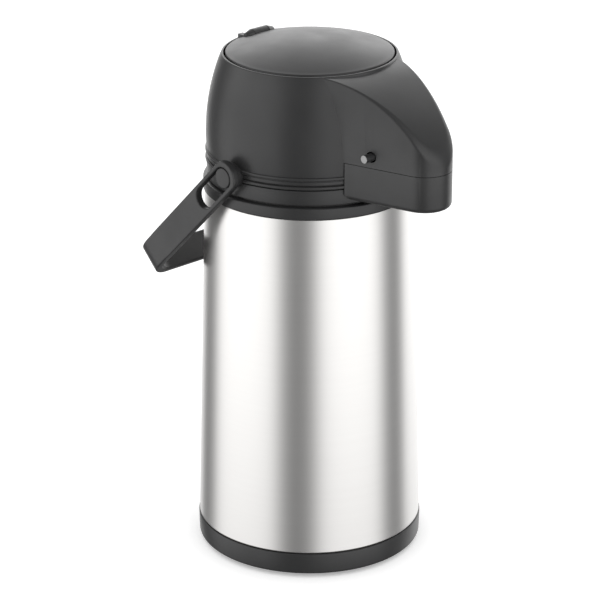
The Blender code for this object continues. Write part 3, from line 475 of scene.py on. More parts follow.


# the third colour of each moulded plastic is its painted edge highlight
MATERIALS = {
    "charcoal_plastic": moulded_plastic("charcoal_moulded", (0.019, 0.019, 0.0195), (0.023, 0.023, 0.0235),
                                        (0.06, 0.06, 0.06), 0.36, 0.30),
    "inner_plastic": moulded_plastic("inner_moulded", (0.52, 0.52, 0.50), (0.57, 0.57, 0.55),
                                     (0.65, 0.65, 0.63), 0.40, 0.12),
    "brushed_steel": brushed_steel(),
    "bright_metal": bright_metal(),
    "silicone_rubber": silicone(),
    "silvered_glass": silvered_glass(),
}
PIN_TIP_MATERIAL = moulded_plastic("pin_tip_grey", (0.27, 0.27, 0.27), (0.32, 0.32, 0.32),
                                   (0.4, 0.4, 0.4), 0.30, 0.15)


def show(name, mesh, node, sharp_angle=32.0):
    """A finished piece that stands for a frame node: its body, slot and material come from the node."""
    mesh.name = name
    mesh.materials.clear()
    mesh.materials.append(MATERIALS[NODE_SLOT[node]])
    mesh.shade_smooth()
    mesh.set_sharp_from_angle(angle=radians(sharp_angle))
    obj = linked(name, mesh)
    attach(obj, NODE_BODY[node])
    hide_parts(node)
    return obj


# ---- base and casing ------------------------------------------------------------------------------
def build_base():
    """The base ring on its recessed foot, and the threaded cap in its floor."""
    draft, edge, floor = 0.3 * MM, 1.6 * MM, 3.0 * MM
    spigot_r, spigot_in, spigot_top = 60.9 * MM, 59.0 * MM, high("base_ring").z
    corners = [(spigot_r, spigot_top), (spigot_r, BASE_H), (BASE_R, BASE_H, 0.6 * MM)]
    corners += [(BASE_R - draft, FOOT_H, edge), (FOOT_R, FOOT_H, 0.4 * MM), (FOOT_R, 0.0, 0.6 * MM)]
    corners += [(SCREW_CAP_R, 0.0, 0.5 * MM), (SCREW_CAP_R, floor)]
    corners += [(spigot_in, floor + 2 * MM, MM), (spigot_in, spigot_top)]
    show("foot_ring", turned("foot_ring", rounded(corners)), "base_ring")

    cap_r, lip_r, plate_top = SCREW_CAP_R - GAP, SCREW_CAP_R + 2.7 * MM, 6.0 * MM
    ring_r, ring_in = 21.0 * MM, 19.0 * MM
    corners = [(0.0, plate_top), (ring_in, plate_top, 0.4 * MM), (ring_in, CAP_RING_Z), (ring_r, CAP_RING_Z)]
    corners += [(ring_r, plate_top), (lip_r, plate_top, 0.5 * MM), (lip_r, floor + GAP), (cap_r, floor + GAP)]
    corners += [(cap_r, 0.0, 0.4 * MM), (0.0, 0.0)]
    cap = turned("liner_screw_cap", rounded(corners), closed=False)
    for side in (-1, 1):
        x = side * 14.0 * MM
        cap = cut(cap, rod("spanner_hole", (x, 0, -MM), (x, 0, 2.5 * MM), 2.5 * MM, 0.3 * MM))
    show("liner_screw_cap", cap, "base_screw_cap")


def build_casing():
    """The steel body: a slight cone whose lower edge turns in."""
    wall, hem = 0.5 * MM, 0.6 * MM
    corners = [(SHELL_R_HIGH, SHELL_TOP_Z), (SHELL_R_LOW, SHELL_LOW_Z + hem, MM)]
    corners += [(SHELL_R_LOW - hem / 2, SHELL_LOW_Z), (SHELL_R_LOW - wall - hem / 2, SHELL_LOW_Z)]
    corners += [(SHELL_R_HIGH - wall, SHELL_TOP_Z)]
    show("steel_body", turned("steel_body", rounded(corners), steps=256), "outer_shell")


# ---- flask ----------------------------------------------------------------------------------------
def flask_side(inset):
    """One surface of the glass from its neck down to its bottom, moved inwards by inset."""
    body_r = LINER_R - inset
    neck_r = NECK_R + LINER_WALL - inset
    low_z = LINER_LOW_Z + inset
    bottom_round, bottom_centre = 26.0 * MM, 8.0 * MM
    shoulder_low, shoulder_high = 172.0 * MM, 184.0 * MM
    neck_z = 200.0 * MM - 0.4 * inset
    corners = [(neck_r, LINER_TOP_Z - 3.0 * MM), (neck_r, neck_z, 1.5 * MM)]
    corners += [(neck_r + 4.0 * MM, neck_z - 2.0 * MM, 2.0 * MM), (body_r - 7.0 * MM, shoulder_high, 12.0 * MM)]
    corners += [(body_r, shoulder_low, 12.0 * MM), (body_r, low_z, bottom_round - inset), (bottom_centre, low_z)]
    return rounded(corners + [(0.0, low_z), (0.0, LINER_TOP_Z)], 10)[:-2]


def build_flask():
    """Two glass walls joined at the mouth by a rounded lip; the pumping hole stays open."""
    pump_hole_r = 2.5 * MM
    lip = arc((NECK_R + LINER_WALL / 2, LINER_TOP_Z - LINER_WALL / 2), LINER_WALL / 2, 180, 0, 12)
    bend_r = LINER_WALL / 2 - GLASS
    inner_bend = arc((NECK_R + LINER_WALL / 2, LINER_TOP_Z - LINER_WALL / 2), bend_r, 0, 180, 8)
    inner_low = LINER_LOW_Z + LINER_WALL
    profile = [(0.0, inner_low)] + flask_side(LINER_WALL)[:0:-1] + lip + flask_side(0.0)[1:]
    profile += [(pump_hole_r, LINER_LOW_Z), (pump_hole_r, LINER_LOW_Z + GLASS)]
    profile += flask_side(GLASS)[:0:-1] + inner_bend + flask_side(LINER_WALL - GLASS)[1:]
    profile += [(0.0, inner_low - GLASS)]
    show("glass_flask", turned("glass_flask", profile, closed=False, steps=128), "vacuum_liner")


def build_neck():
    """The funnel over the flask's mouth, and the siphon tube that hangs in it."""
    foot_z = high("neck_gasket").z + GAP
    seat_in, seat_out, rim_r, foot_r = 22.0 * MM, 27.0 * MM, 33.5 * MM, 30.4 * MM
    throat_r, throat_z, rim_top = 18.0 * MM, 218.0 * MM, SHELF_Z + 2.3 * MM
    corners = [(seat_out, SEAT_Z, 0.6 * MM), (seat_out, rim_top, MM), (rim_r, rim_top, 0.5 * MM)]
    corners += [(rim_r, SHELF_Z + GAP, 0.3 * MM), (foot_r, SHELF_Z + GAP), (foot_r, foot_z, 0.4 * MM)]
    corners += [(throat_r, foot_z, 0.5 * MM), (throat_r, throat_z, 3.0 * MM), (seat_in, SEAT_Z, 0.6 * MM)]
    funnel = turned("mouth_funnel", rounded(corners), steps=128)
    funnel = cut(funnel, rod("port", (0, -10 * MM, ELBOW_Z), (0, -32 * MM, ELBOW_Z), 4.9 * MM))
    show("mouth_funnel", funnel, "neck_funnel")

    tube_low, tube_high = low("siphon_tube").z, high("siphon_tube").z
    show("dip_tube", ring("dip_tube", 2.5 * MM, 3.5 * MM, tube_low, tube_high, 0.2 * MM), "siphon_tube")


# ---- shoulder ring --------------------------------------------------------------------------------
def build_collar():
    """Flange on the casing, plain band, two beads between grooves, and the lugs for the handle."""
    flange_r, band_r, bead_r = 57.9 * MM, 55.9 * MM, 56.6 * MM
    groove_r, top_r = 54.8 * MM, 55.4 * MM
    bead_h, groove_h, bead_round, lip = 1.9 * MM, 0.5 * MM, 0.7 * MM, 0.3 * MM
    bead_tops = (230.2 * MM, 225.3 * MM)
    corners = [(SPIGOT_R, SPIGOT_TOP_Z, lip), (SPIGOT_R, COLLAR_TOP_Z), (top_r, COLLAR_TOP_Z, 0.6 * MM)]
    corners += [(top_r, bead_tops[0] + lip, 0.2 * MM)]
    for top in bead_tops:
        bottom = top - bead_h
        if top != bead_tops[0]:
            corners += [(band_r, top + 2 * lip, lip)]
        corners += [(groove_r, top + lip), (groove_r, top), (bead_r, top, bead_round), (bead_r, bottom, bead_round)]
        corners += [(groove_r, bottom), (groove_r, bottom - groove_h), (band_r, bottom - groove_h, lip)]
    corners += [(band_r, 214.8 * MM, lip), (groove_r, 214.8 * MM), (groove_r, 213.9 * MM)]
    corners += [(flange_r, 213.7 * MM, 0.9 * MM), (flange_r, SHELL_TOP_Z + GAP, 0.6 * MM)]
    skirt_out, skirt_in, skirt_low, web_r = 56.2 * MM, 54.4 * MM, low("collar").z, 30.8 * MM
    corners += [(skirt_out, SHELL_TOP_Z + GAP), (skirt_out, skirt_low, 0.4 * MM), (skirt_in, skirt_low, 0.4 * MM)]
    corners += [(skirt_in, 211.0 * MM), (web_r, 214.0 * MM), (web_r, SHELF_Z, 0.5 * MM)]
    bore_r = SPIGOT_R - 1.4 * MM
    corners += [(bore_r, SHELF_Z, MM), (bore_r, SPIGOT_TOP_Z)]
    collar = turned("shoulder_ring", rounded(corners))

    lug_in, lug_r, lug_out = 52.5 * MM, 7.0 * MM, ARM_OUTER_X - ARM_T - 0.5 * MM
    for side in (-1, 1):
        start = (side * lug_in, 0, HANDLE_Z)
        lug = rod("lug", start, (side * lug_out, 0, HANDLE_Z), lug_r, 0.7 * MM, TURN)
        boss = rod("boss", start, (side * ARM_OUTER_X, 0, HANDLE_Z), BOSS_R, 0.6 * MM, TURN)
        collar = join(collar, lug, boss)
    window = rod("window", (0, -48 * MM, ELBOW_Z), (0, -60 * MM, ELBOW_Z), 4.2 * MM)
    show("shoulder_ring", cut(collar, window), "collar")


# ---- head -----------------------------------------------------------------------------------------
def barrel_radius(z):
    """The barrel's side leaves the swell upright and leans in towards the rim."""
    share = (z - SWELL_Z) / (RIM_Z - SWELL_Z)
    return SWELL_R - (SWELL_R - RIM_R) * (0.10 * share + 0.90 * share ** 2.15)


def barrel_side(inset=0.0, steps=28):
    """Outer side of the barrel, from under its rim down to its curled lower edge."""
    rim_round = 0.7 * MM
    top = RIM_Z - rim_round
    points = []
    for i in range(steps + 1):
        z = top + (SWELL_Z - top) * i / steps
        points.append((barrel_radius(z) - inset, z))
    curl_r, curl_h = 1.9 * MM, SWELL_Z - HEAD_LOW_Z
    for i in range(1, 11):
        turn = radians(90.0 * i / 10)
        points.append((SWELL_R - inset - curl_r * (1 - cos(turn)), SWELL_Z - curl_h * sin(turn)))
    return points


def hood_loop(inset, height):
    """The hood's outline from above, moved inwards; height is a function of y, or one value."""
    radius = NOSE_R - inset
    side_y = NOSE_Y + radius * sin(HOOD_SIDE_ANGLE)
    side_x = radius * cos(HOOD_SIDE_ANGLE)
    side_steps, nose_steps = 30, 47
    spread = []
    for i in range(side_steps):
        y = HOOD_ROOT_Y + (side_y - HOOD_ROOT_Y) * i / side_steps
        spread.append((side_x + (side_y - y) * tan(HOOD_SIDE_ANGLE), -y))
    turn = degrees(HOOD_SIDE_ANGLE)
    nose = arc((0.0, -NOSE_Y), radius, 180 + turn, 360 - turn, nose_steps)
    outline = [(-x, y) for x, y in spread] + nose + list(reversed(spread))
    if callable(height):
        return [(x, y, height(y)) for x, y in outline]
    return [(x, y, height) for x, y in outline]


def hood_top(inset, drop=0.0):
    """Height of the hood's top at a y: an arc, seen from the side."""
    return lambda y: HOOD_TOP_Z + sqrt((HOOD_TOP_R - inset) ** 2 - (y + HOOD_TOP_Y) ** 2) - drop


def lofted(name, loops):
    """A closed body through loops that are mirror-symmetric about x = 0, capped straight across."""
    bm = bmesh.new()
    rows = [[bm.verts.new(point) for point in loop] for loop in loops]
    count = len(rows[0])
    for one, two in zip(rows, rows[1:]):
        for i in range(count):
            j = (i + 1) % count
            bm.faces.new((one[i], one[j], two[j], two[i]))
    for row in (rows[0], rows[-1]):
        for i in range(count // 2 - 1):
            bm.faces.new((row[i], row[i + 1], row[count - 2 - i], row[count - 1 - i]))
    bmesh.ops.recalc_face_normals(bm, faces=bm.faces)
    return mesh_from(bm, name)


def ridge_size(y):
    """Rounding of the hood's ridge at a y: crisp by the rim, soft at the nose."""
    share = (-y - 35 * MM) / (NOSE_Y + NOSE_R - 35 * MM)
    return RIDGE_ROOT + (RIDGE_NOSE - RIDGE_ROOT) * min(max(share, 0.0), 1.0) ** 2


def ridge_loop(inset, turn, ridge):
    """A step of the ridge's rounding, from the side (turn 0) to the top (turn 90 degrees)."""
    height = hood_top(inset)
    points = []
    for here, inner in zip(hood_loop(inset, 0.0), hood_loop(inset + MM, 0.0)):
        size = ridge(here[1])
        inwards = size * (1 - cos(turn)) / MM
        x = here[0] + (inner[0] - here[0]) * inwards
        y = here[1] + (inner[1] - here[1]) * inwards
        points.append((x, y, height(y) - size * (1 - sin(turn))))
    return points


def hood_block(name, inset, low_z, ridge):
    """Upright sides, a rounded ridge and the curved top."""
    steps = 8
    turns = [radians(90.0 * i / steps) for i in range(steps + 1)]
    return lofted(name, [hood_loop(inset, low_z)] + [ridge_loop(inset, turn, ridge) for turn in turns])


def screw_places():
    return [("left", -10.5 * MM, -79.0 * MM), ("right", 10.5 * MM, -79.0 * MM)]


def build_head():
    """Barrel and hood in one moulding, hollow, with screw posts, the pin's hole and the hinge ears."""
    rim_round, lip_z, past = 0.7 * MM, RIM_Z - 1.6 * MM, MM
    rim = arc((RIM_R - rim_round + 0.1 * MM, RIM_Z - rim_round), rim_round, 90, 10, 5)
    head = turned("head_moulding", [(0.0, RIM_Z)] + rim + barrel_side()[1:] + [(0.0, HEAD_LOW_Z)], closed=False)
    head = join(head, hood_block("hood", 0.0, HOOD_LOW_Z, ridge_size))

    wall = [(max(r, RIM_R_IN), z) for r, z in barrel_side(SKIN, 16) if HEAD_LOW_Z < z < lip_z]
    cavity = [(0.0, RIM_Z + past), (RIM_R_IN, RIM_Z + past), (RIM_R_IN, lip_z), (wall[0][0], lip_z)]
    cavity += wall + [(wall[-1][0], HEAD_LOW_Z - past), (0.0, HEAD_LOW_Z - past)]
    hood_room = hood_block("hood_room", SKIN, HOOD_LOW_Z - SKIN, lambda y: 0.8 * MM)
    for word, x, y in screw_places():
        hood_room = cut(hood_room, rod("post", (x, y, 200 * MM), (x, y, 300 * MM), 2.8 * MM))
    head = cut(head, turned("barrel_room", cavity, closed=False), hood_room)

    post_low, post_high, hole_top = COVER_LOW_Z + 4.7 * MM, HOOD_LOW_Z + 3.9 * MM, 234.0 * MM
    for word, x, y in screw_places():
        head = join(head, rod("post", (x, y, post_low), (x, y, post_high), 2.8 * MM))
        head = cut(head, rod("screw_hole", (x, y, post_low - MM), (x, y, hole_top), 1.7 * MM))
    head = with_hinge_ears(head)
    pin_hole = rod("pin_hole", (-35 * MM, -PIN_Y, PIN_Z), (35 * MM, -PIN_Y, PIN_Z), PIN_HOLE_R)
    show("head_moulding", cut(head, pin_hole), "head_shell")


def with_hinge_ears(head):
    """Two tapered ears at the rear of the rim carry the hinge pin."""
    near, far, tip_r = KNUCKLE_HALF + GAP, 10.2 * MM, 1.7 * MM
    foot_near, foot_far, hole_far = near + 0.4 * MM, 9.4 * MM, 8.6 * MM
    room = KNUCKLE_HALF + 0.45 * MM
    head = cut(head, rod("knuckle_room", (-room, HINGE_Y, HINGE_Z), (room, HINGE_Y, HINGE_Z),
                         KNUCKLE_R + 0.4 * MM))
    for side in (-1, 1):
        ear = rod("ear", (side * near, HINGE_Y, HINGE_Z), (side * far, HINGE_Y, HINGE_Z), KNUCKLE_R,
                  0.9 * MM, TURN, tip_r)
        foot_x = sorted((side * foot_near, side * foot_far))
        foot = box("ear_foot", (foot_x[0], HINGE_Y - 1.6 * MM, 279.0 * MM), (foot_x[1], 46.8 * MM, HINGE_Z))
        hole = rod("ear_hole", (side * (near - MM), HINGE_Y, HINGE_Z), (side * hole_far, HINGE_Y, HINGE_Z),
                   HINGE_BORE_R)
        head = cut(join(head, ear, foot), hole)
    return head


def build_spout_cover():
    """The hood's lower half: an open tray with soft lower edges that wraps the shoulder's beads."""
    top, edge, wrap_r, barrel_r = HOOD_LOW_Z - GAP, 3.0 * MM, 57.0 * MM, 56.6 * MM
    loops = [hood_loop(0.0, top), hood_loop(0.0, COVER_LOW_Z + edge)]
    steps = 8
    for i in range(1, steps + 1):
        turn = radians(90.0 * i / steps)
        loops.append(hood_loop(edge * (1 - cos(turn)), COVER_LOW_Z + edge * (1 - sin(turn))))
    cover = lofted("spout_tray", loops)
    floor_z = COVER_LOW_Z + SKIN
    room = lofted("tray_room", [hood_loop(SKIN, top + MM), hood_loop(SKIN, floor_z + MM), hood_loop(3 * MM, floor_z)])
    wrap = [(0.0, 250 * MM), (wrap_r, 250 * MM)]
    wrap += arc((wrap_r + edge, COVER_LOW_Z + edge), edge, 180, 270, 8)
    wrap += [(wrap_r + edge, 200 * MM), (0.0, 200 * MM)]
    barrel = [(0.0, 250 * MM), (barrel_r, 250 * MM), (barrel_r, 232 * MM), (0.0, 232 * MM)]
    cover = cut(cover, room, turned("wrap", wrap, closed=False), turned("barrel", barrel, closed=False))
    nozzle_hole = rod("nozzle_hole", (0, -NOZZLE_Y, 200 * MM), (0, -NOZZLE_Y, 224 * MM), 5.6 * MM, 0.0, TURN)
    cover = cut(cover, nozzle_hole)
    for word, x, y in screw_places():
        hole = rod("hole", (x, y, 200 * MM), (x, y, 224 * MM), 1.8 * MM)
        sink = rod("sink", (x, y, 210 * MM), (x, y, COVER_LOW_Z + MM), 3.3 * MM)
        cover = cut(cover, hole, sink)
    show("spout_tray", cover, "spout_cover")


def build_cover_screws():
    """Pan-head screws with a cross recess."""
    for word, x, y in screw_places():
        node = "cover_screw_" + word
        head_low, tip = low(node).z, high(node).z
        head_z = head_low + 1.5 * MM
        corners = [(0.0, tip), (1.4 * MM, tip - 0.5 * MM), (1.4 * MM, head_z), (2.9 * MM, head_z)]
        corners += [(2.9 * MM, head_low, 0.8 * MM), (0.0, head_low)]
        screw = turned(node, rounded(corners), closed=False, steps=48)
        arm, slot, depth = 1.7 * MM, 0.35 * MM, 0.9 * MM
        screw = cut(screw, box("slot", (-arm, -slot, head_low - MM), (arm, slot, head_low + depth)),
                    box("slot", (-slot, -arm, head_low - MM), (slot, arm, head_low + depth)))
        screw.transform(Matrix.Translation((x, y, 0)))
        show("tray_screw_" + word, screw, node)


def build_nozzle():
    top, bottom = high("spout_nozzle").z, low("spout_nozzle").z
    outer_r, lip_r, outlet_r, socket_r = 4.6 * MM, 5.2 * MM, 2.8 * MM, 3.8 * MM
    corners = [(outer_r, top, 0.3 * MM), (outer_r, 222 * MM, MM), (lip_r, 220 * MM, MM)]
    corners += [(4.4 * MM, bottom, 0.6 * MM), (outlet_r, bottom, 0.4 * MM), (outlet_r, 225.6 * MM)]
    corners += [(socket_r, 225.6 * MM), (socket_r, top)]
    mesh = turned("pouring_nozzle", rounded(corners), steps=TURN)
    mesh.transform(Matrix.Translation((0, -NOZZLE_Y, 0)))
    show("pouring_nozzle", mesh, "spout_nozzle")


def build_shutoff_pin():
    """The push-through spool; the end that stands out of the hood is paler."""
    near_end, far_end = low("shutoff_pin").x, high("shutoff_pin").x
    spool_half, spool_r, groove_r = 9.6 * MM, 4.5 * MM, 2.9 * MM
    groove_low, groove_high, end_round = 7.2 * MM, 9.0 * MM, 0.5 * MM
    half = [(PIN_R, spool_half), (spool_r, spool_half, 0.2 * MM), (spool_r, groove_high), (groove_r, groove_high)]
    half += [(groove_r, groove_low), (spool_r, groove_low)]
    other = [(r, -z, *rest) for r, z, *rest in reversed(half)]
    corners = [(0.0, far_end), (PIN_R, far_end, end_round), *half, *other]
    corners += [(PIN_R, near_end, end_round), (0.0, near_end)]
    mesh = turned("stop_pin", rounded(corners), closed=False, steps=TURN // 2)
    mesh = cut(mesh, rod("cross_hole", (-8 * MM, 0, 0), (8 * MM, 0, 0), 2.5 * MM))
    mesh.transform(Matrix.Translation((0, -PIN_Y, PIN_Z)) @ Matrix.Rotation(radians(90), 4, "Y"))
    pin = show("stop_pin", mesh, "shutoff_pin")
    pin.data.materials.append(PIN_TIP_MATERIAL)
    for face in pin.data.polygons:
        if face.center.x < near_end + 0.3 * MM:
            face.material_index = 1


# ---- lid and pump ---------------------------------------------------------------------------------
def with_vents(mesh, low_z, high_z):
    """Six air holes round the stem of a flap valve."""
    ring_r, count = 5.5 * MM, 6
    for i in range(count):
        x, y = ring_r * cos(2 * pi * i / count), ring_r * sin(2 * pi * i / count)
        mesh = cut(mesh, rod("vent", (x, y, low_z), (x, y, high_z), 1.5 * MM, 0.0, 24))
    return mesh


def build_lid_cup():
    """The cup that holds the bellows, with an arm at the rear up to the hinge's knuckle."""
    wall, floor = 2.2 * MM, 2.0 * MM
    corners = [(STEM_HOLE_R, CUP_LOW_Z + floor), (CUP_R - wall, CUP_LOW_Z + floor, 0.6 * MM)]
    corners += [(CUP_R - wall, CUP_TOP_Z, 0.4 * MM), (CUP_R, CUP_TOP_Z, 0.6 * MM)]
    corners += [(CUP_R, CUP_LOW_Z, 1.2 * MM), (STEM_HOLE_R, CUP_LOW_Z)]
    cup = turned("lid_cup", rounded(corners), steps=128)
    half, arm_in, arm_out = KNUCKLE_HALF - 0.5 * MM, HINGE_Y, HINGE_Y + 2.8 * MM
    foot_low, foot_high = CUP_LOW_Z + MM, CUP_LOW_Z + 4.5 * MM
    foot = box("foot", (-half, 34.6 * MM, foot_low), (half, arm_out, foot_high))
    arm = box("arm", (-half, arm_in, foot_low + 0.5 * MM), (half, arm_out, HINGE_Z))
    arm = edges_rounded(join(foot, arm), 0.5 * MM)
    knuckle = rod("knuckle", (-KNUCKLE_HALF, HINGE_Y, HINGE_Z), (KNUCKLE_HALF, HINGE_Y, HINGE_Z), KNUCKLE_R,
                  0.4 * MM, TURN)
    reach = KNUCKLE_HALF + 2 * MM
    hole = rod("hole", (-reach, HINGE_Y, HINGE_Z), (reach, HINGE_Y, HINGE_Z), HINGE_BORE_R)
    cup = cut(join(cup, arm, knuckle), hole)
    show("lid_cup", with_vents(cup, CUP_LOW_Z - MM, CUP_LOW_Z + floor + MM), "lid_frame")


def build_stopper():
    """The cone under the cup, with the soft gasket on its lower face."""
    top, bottom = high("lid_stopper").z, low("lid_stopper").z
    r_top, r_low, r_hole, wall = 33.0 * MM, 24.8 * MM, 19.0 * MM, 2.0 * MM
    corners = [(r_top, top, 0.5 * MM), (r_low, bottom + wall, 3 * MM), (r_low, bottom, 0.4 * MM)]
    corners += [(r_hole, bottom, 0.5 * MM), (r_hole, bottom + wall, 0.5 * MM)]
    corners += [(r_low - wall, bottom + 1.6 * wall, 2 * MM), (r_top - 1.7 * wall, top)]
    show("stopper_cone", turned("stopper_cone", rounded(corners), steps=128), "lid_stopper")

    seal_top, seal_low = high("lid_gasket").z, low("lid_gasket").z
    corners = [(24.6 * MM, seal_top), (25.0 * MM, seal_low + 0.9 * MM, 0.4 * MM)]
    corners += [(24.4 * MM, seal_low, 0.3 * MM), (22.6 * MM, seal_low, 0.3 * MM), (19.5 * MM, seal_top)]
    show("stopper_seal", turned("stopper_seal", rounded(corners), steps=128), "lid_gasket")


def build_flap(name, node):
    """A mushroom flap: a thin dished disc under a plate, held by a barbed stem."""
    top, bottom = high(node).z, low(node).z
    face_z = bottom + 1.5 * MM
    corners = [(0.0, top), (1.9 * MM, face_z + 2.9 * MM, 0.3 * MM), (1.9 * MM, face_z + 2.4 * MM, 0.2 * MM)]
    corners += [(1.1 * MM, face_z + 2.4 * MM), (1.1 * MM, face_z - GAP), (8.2 * MM, face_z - GAP, 0.2 * MM)]
    corners += [(8.2 * MM, face_z - 0.9 * MM, 0.2 * MM), (2.0 * MM, bottom, 0.6 * MM), (0.0, bottom)]
    show(name, turned(name, rounded(corners), closed=False, steps=64), node)


def build_bellows():
    """A thin sleeve with round folds and a flat rim at each end."""
    low_z, high_z = low("pump_bellows").z, high("pump_bellows").z
    wall, folds, per_fold = 1.0 * MM, 4, 12
    root, crest, hole_r = 26.0 * MM, 31.0 * MM, 21.5 * MM
    middle, swing = (root + crest) / 2, (crest - root) / 2
    steps = folds * per_fold
    wave = []
    for i in range(steps + 1):
        z = high_z - wall + (low_z - high_z + 2 * wall) * i / steps
        wave.append((middle - swing * cos(2 * pi * folds * i / steps), z))
    outside = [(hole_r, high_z), (root, high_z)] + wave + [(root, low_z), (hole_r, low_z)]
    inside = [(r - 1.2 * wall, z) for r, z in reversed(wave[1:-1])]
    profile = outside + [(hole_r, low_z + wall)] + inside + [(hole_r, high_z - wall)]
    sleeve = show("bellows_sleeve", turned("bellows_sleeve", profile, steps=128), "pump_bellows", 50.0)
    squash(sleeve)


def build_spring():
    """A coil whose end turns lie flat."""
    low_z, high_z = low("return_spring").z, high("return_spring").z
    wire, radius, coils, per_turn = 0.7 * MM, 18.6 * MM, 5, 40
    steps = coils * per_turn
    curve = bpy.data.curves.new("coil", "CURVE")
    curve.dimensions = "3D"
    curve.bevel_depth = wire
    curve.bevel_resolution = 3
    curve.use_fill_caps = True
    spline = curve.splines.new("POLY")
    spline.points.add(steps)
    flat = 0.6 / coils
    for i in range(steps + 1):
        share = i / steps
        rise = min(max((share - flat) / (1 - 2 * flat), 0.0), 1.0)
        rise = 0.12 * share + 0.88 * rise
        turn = 2 * pi * i / per_turn
        z = low_z + wire + (high_z - low_z - 2 * wire) * rise
        spline.points[i].co = (radius * cos(turn), radius * sin(turn), z, 1.0)
    coil = show("coil_spring", welded(applied(linked("coil", curve)), "coil_spring"), "return_spring", 50.0)
    squash(coil)


def squash(obj):
    """Give a pump part its own copy of its mesh."""
    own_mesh(obj)


def crown_z(r):
    sphere = (BUTTON_R ** 2 + BUTTON_CROWN ** 2) / (2 * BUTTON_CROWN)
    return BUTTON_TOP_Z - sphere + sqrt(sphere ** 2 - r ** 2)


def build_button():
    """The domed push button, notched at the rear round the hinge."""
    skin, skirt_low, guide_low, steps = 2.0 * MM, 275.0 * MM, CUP_TOP_Z + 2 * GAP, 24
    guide_in = CUP_R + GAP
    guide_out = guide_in + 1.8 * MM
    push_in, push_out, push_low = 13.0 * MM, 15.0 * MM, PLATE_LOW_Z + PLATE_T + GAP
    edge = 1.0 * MM
    crown = [((BUTTON_R - edge) * i / steps, crown_z((BUTTON_R - edge) * i / steps)) for i in range(steps + 1)]
    rim = arc((BUTTON_R - edge, crown_z(BUTTON_R - edge) - edge), edge, 70, 0, 5)
    under = [(BUTTON_R, skirt_low), (BUTTON_R - skin, skirt_low), (BUTTON_R - skin, crown_z(BUTTON_R) - skin)]
    under += [(guide_out, crown_z(guide_out) - skin), (guide_out, guide_low), (guide_in, guide_low)]
    under += [(guide_in, crown_z(guide_in) - skin), (push_out, crown_z(push_out) - skin)]
    under += [(push_out, push_low), (push_in, push_low), (push_in, crown_z(push_in) - skin)]
    under += [(0.0, crown_z(0.0) - skin)]
    button = turned("push_dome", crown + rim + under, closed=False)
    notch_y, arm_half, corner = HINGE_Y - KNUCKLE_R - 0.6 * MM, KNUCKLE_HALF + 0.5 * MM, 1.5 * MM
    outline = rounded([(-NOTCH_HALF, notch_y, corner), (NOTCH_HALF, notch_y, corner),
                       (NOTCH_HALF, 60 * MM), (-NOTCH_HALF, 60 * MM)])
    notch = slab("notch", [outline], 40 * MM)
    notch.transform(Matrix.Translation((0, 0, 280 * MM)))
    arm_room = box("arm_room", (-arm_half, 30 * MM, 260 * MM), (arm_half, 45 * MM, 281.5 * MM))
    show("push_dome", cut(button, notch, arm_room), "press_button")


def build_plunger():
    plate = ring("pressure_plate", STEM_HOLE_R, high("plunger_plate").x, PLATE_LOW_Z, PLATE_LOW_Z + PLATE_T)
    show("pressure_plate", with_vents(plate, PLATE_LOW_Z - MM, PLATE_LOW_Z + PLATE_T + MM), "plunger_plate")


# ---- handle ---------------------------------------------------------------------------------------
def side_outline():
    """The handle from the side: round at the pivot, blunt with small corners at the grip."""
    corner, end_half = 1.2 * MM, ARM_HALF_W - 0.4 * MM
    points = arc((0.0, 0.0), ARM_TIP_R, 115, 245, 24)
    points += [(ARM_TIP_R, -ARM_HALF_W)]
    points += arc((HANDLE_REACH - corner, -end_half + corner), corner, -90, 0, 6)
    points += arc((HANDLE_REACH - corner, end_half - corner), corner, 0, 90, 6)
    points += [(ARM_TIP_R, ARM_HALF_W)]
    return points


def slot_outline():
    return arc((0.0, 0.0), SLOT_R, 90, 270, 20) + arc((SLOT_LENGTH, 0.0), SLOT_R, -90, 90, 20)


def bow_outline():
    """The handle from the front: a strip bent into two arms and a straight grip."""
    centre, arm_end, steps = (ARM_OUTER_X - BEND_R, HANDLE_REACH - BEND_R), -ARM_TIP_R - MM, 24
    outside = [(ARM_OUTER_X, arm_end), *arc(centre, BEND_R, 0, 90, steps)]
    inside = [(ARM_OUTER_X - ARM_T, arm_end), *arc(centre, BEND_R - ARM_T, 0, 90, steps)]
    half = outside[::-1] + inside
    return half + [(-x, y) for x, y in reversed(half)]


def build_handle():
    """Two slotted arms and a grip in one moulding: a bent strip, trimmed to its outline from the side."""
    side_on = Matrix(((0, 0, 1, 0), (1, 0, 0, 0), (0, 1, 0, 0), (0, 0, 0, 1)))
    bow = slab("bow", [bow_outline()], 2 * (ARM_TIP_R + 5 * MM))
    trim = slab("trim", [side_outline(), slot_outline()], 2 * (ARM_OUTER_X + 5 * MM))
    trim.transform(side_on)
    handle = fused([combine(bow, trim, "INTERSECT")], 0.45 * MM, 6)
    handle.transform(Matrix.Translation((0, 0, HANDLE_Z)) @ Matrix.Rotation(-HANDLE_REST, 4, "X"))
    show("swing_handle", handle, "carry_handle", 60.0)


# ---- carried-over nodes ---------------------------------------------------------------------------
def finish_hidden_nodes():
    """The plain inner parts keep their frame meshes and get the finished materials."""
    for name, obj in frame["nodes"].items():
        if obj.hide_render:
            continue
        obj.data.materials.clear()
        obj.data.materials.append(MATERIALS[NODE_SLOT[name]])
        obj.data.shade_smooth()
        obj.data.set_sharp_from_angle(angle=radians(35.0))


# ---- studio ---------------------------------------------------------------------------------------
CAMERA_TURN = -133.5                 # degrees about Z, from +X, of the camera seen from the pot
CAMERA_DISTANCE = 1.5                # level distance
CAMERA_HEIGHT = 0.735
CAMERA_SIDE = -5.3 * MM
CAMERA_PITCH = -21.65
LENS = 175.3
DARK_PANELS = ((-12.8, 6.5, 28.0), (-133.0, 7.0, 24.0), (100.0, 6.0, 24.0))
DARK_PANEL_LIGHT = 0.17
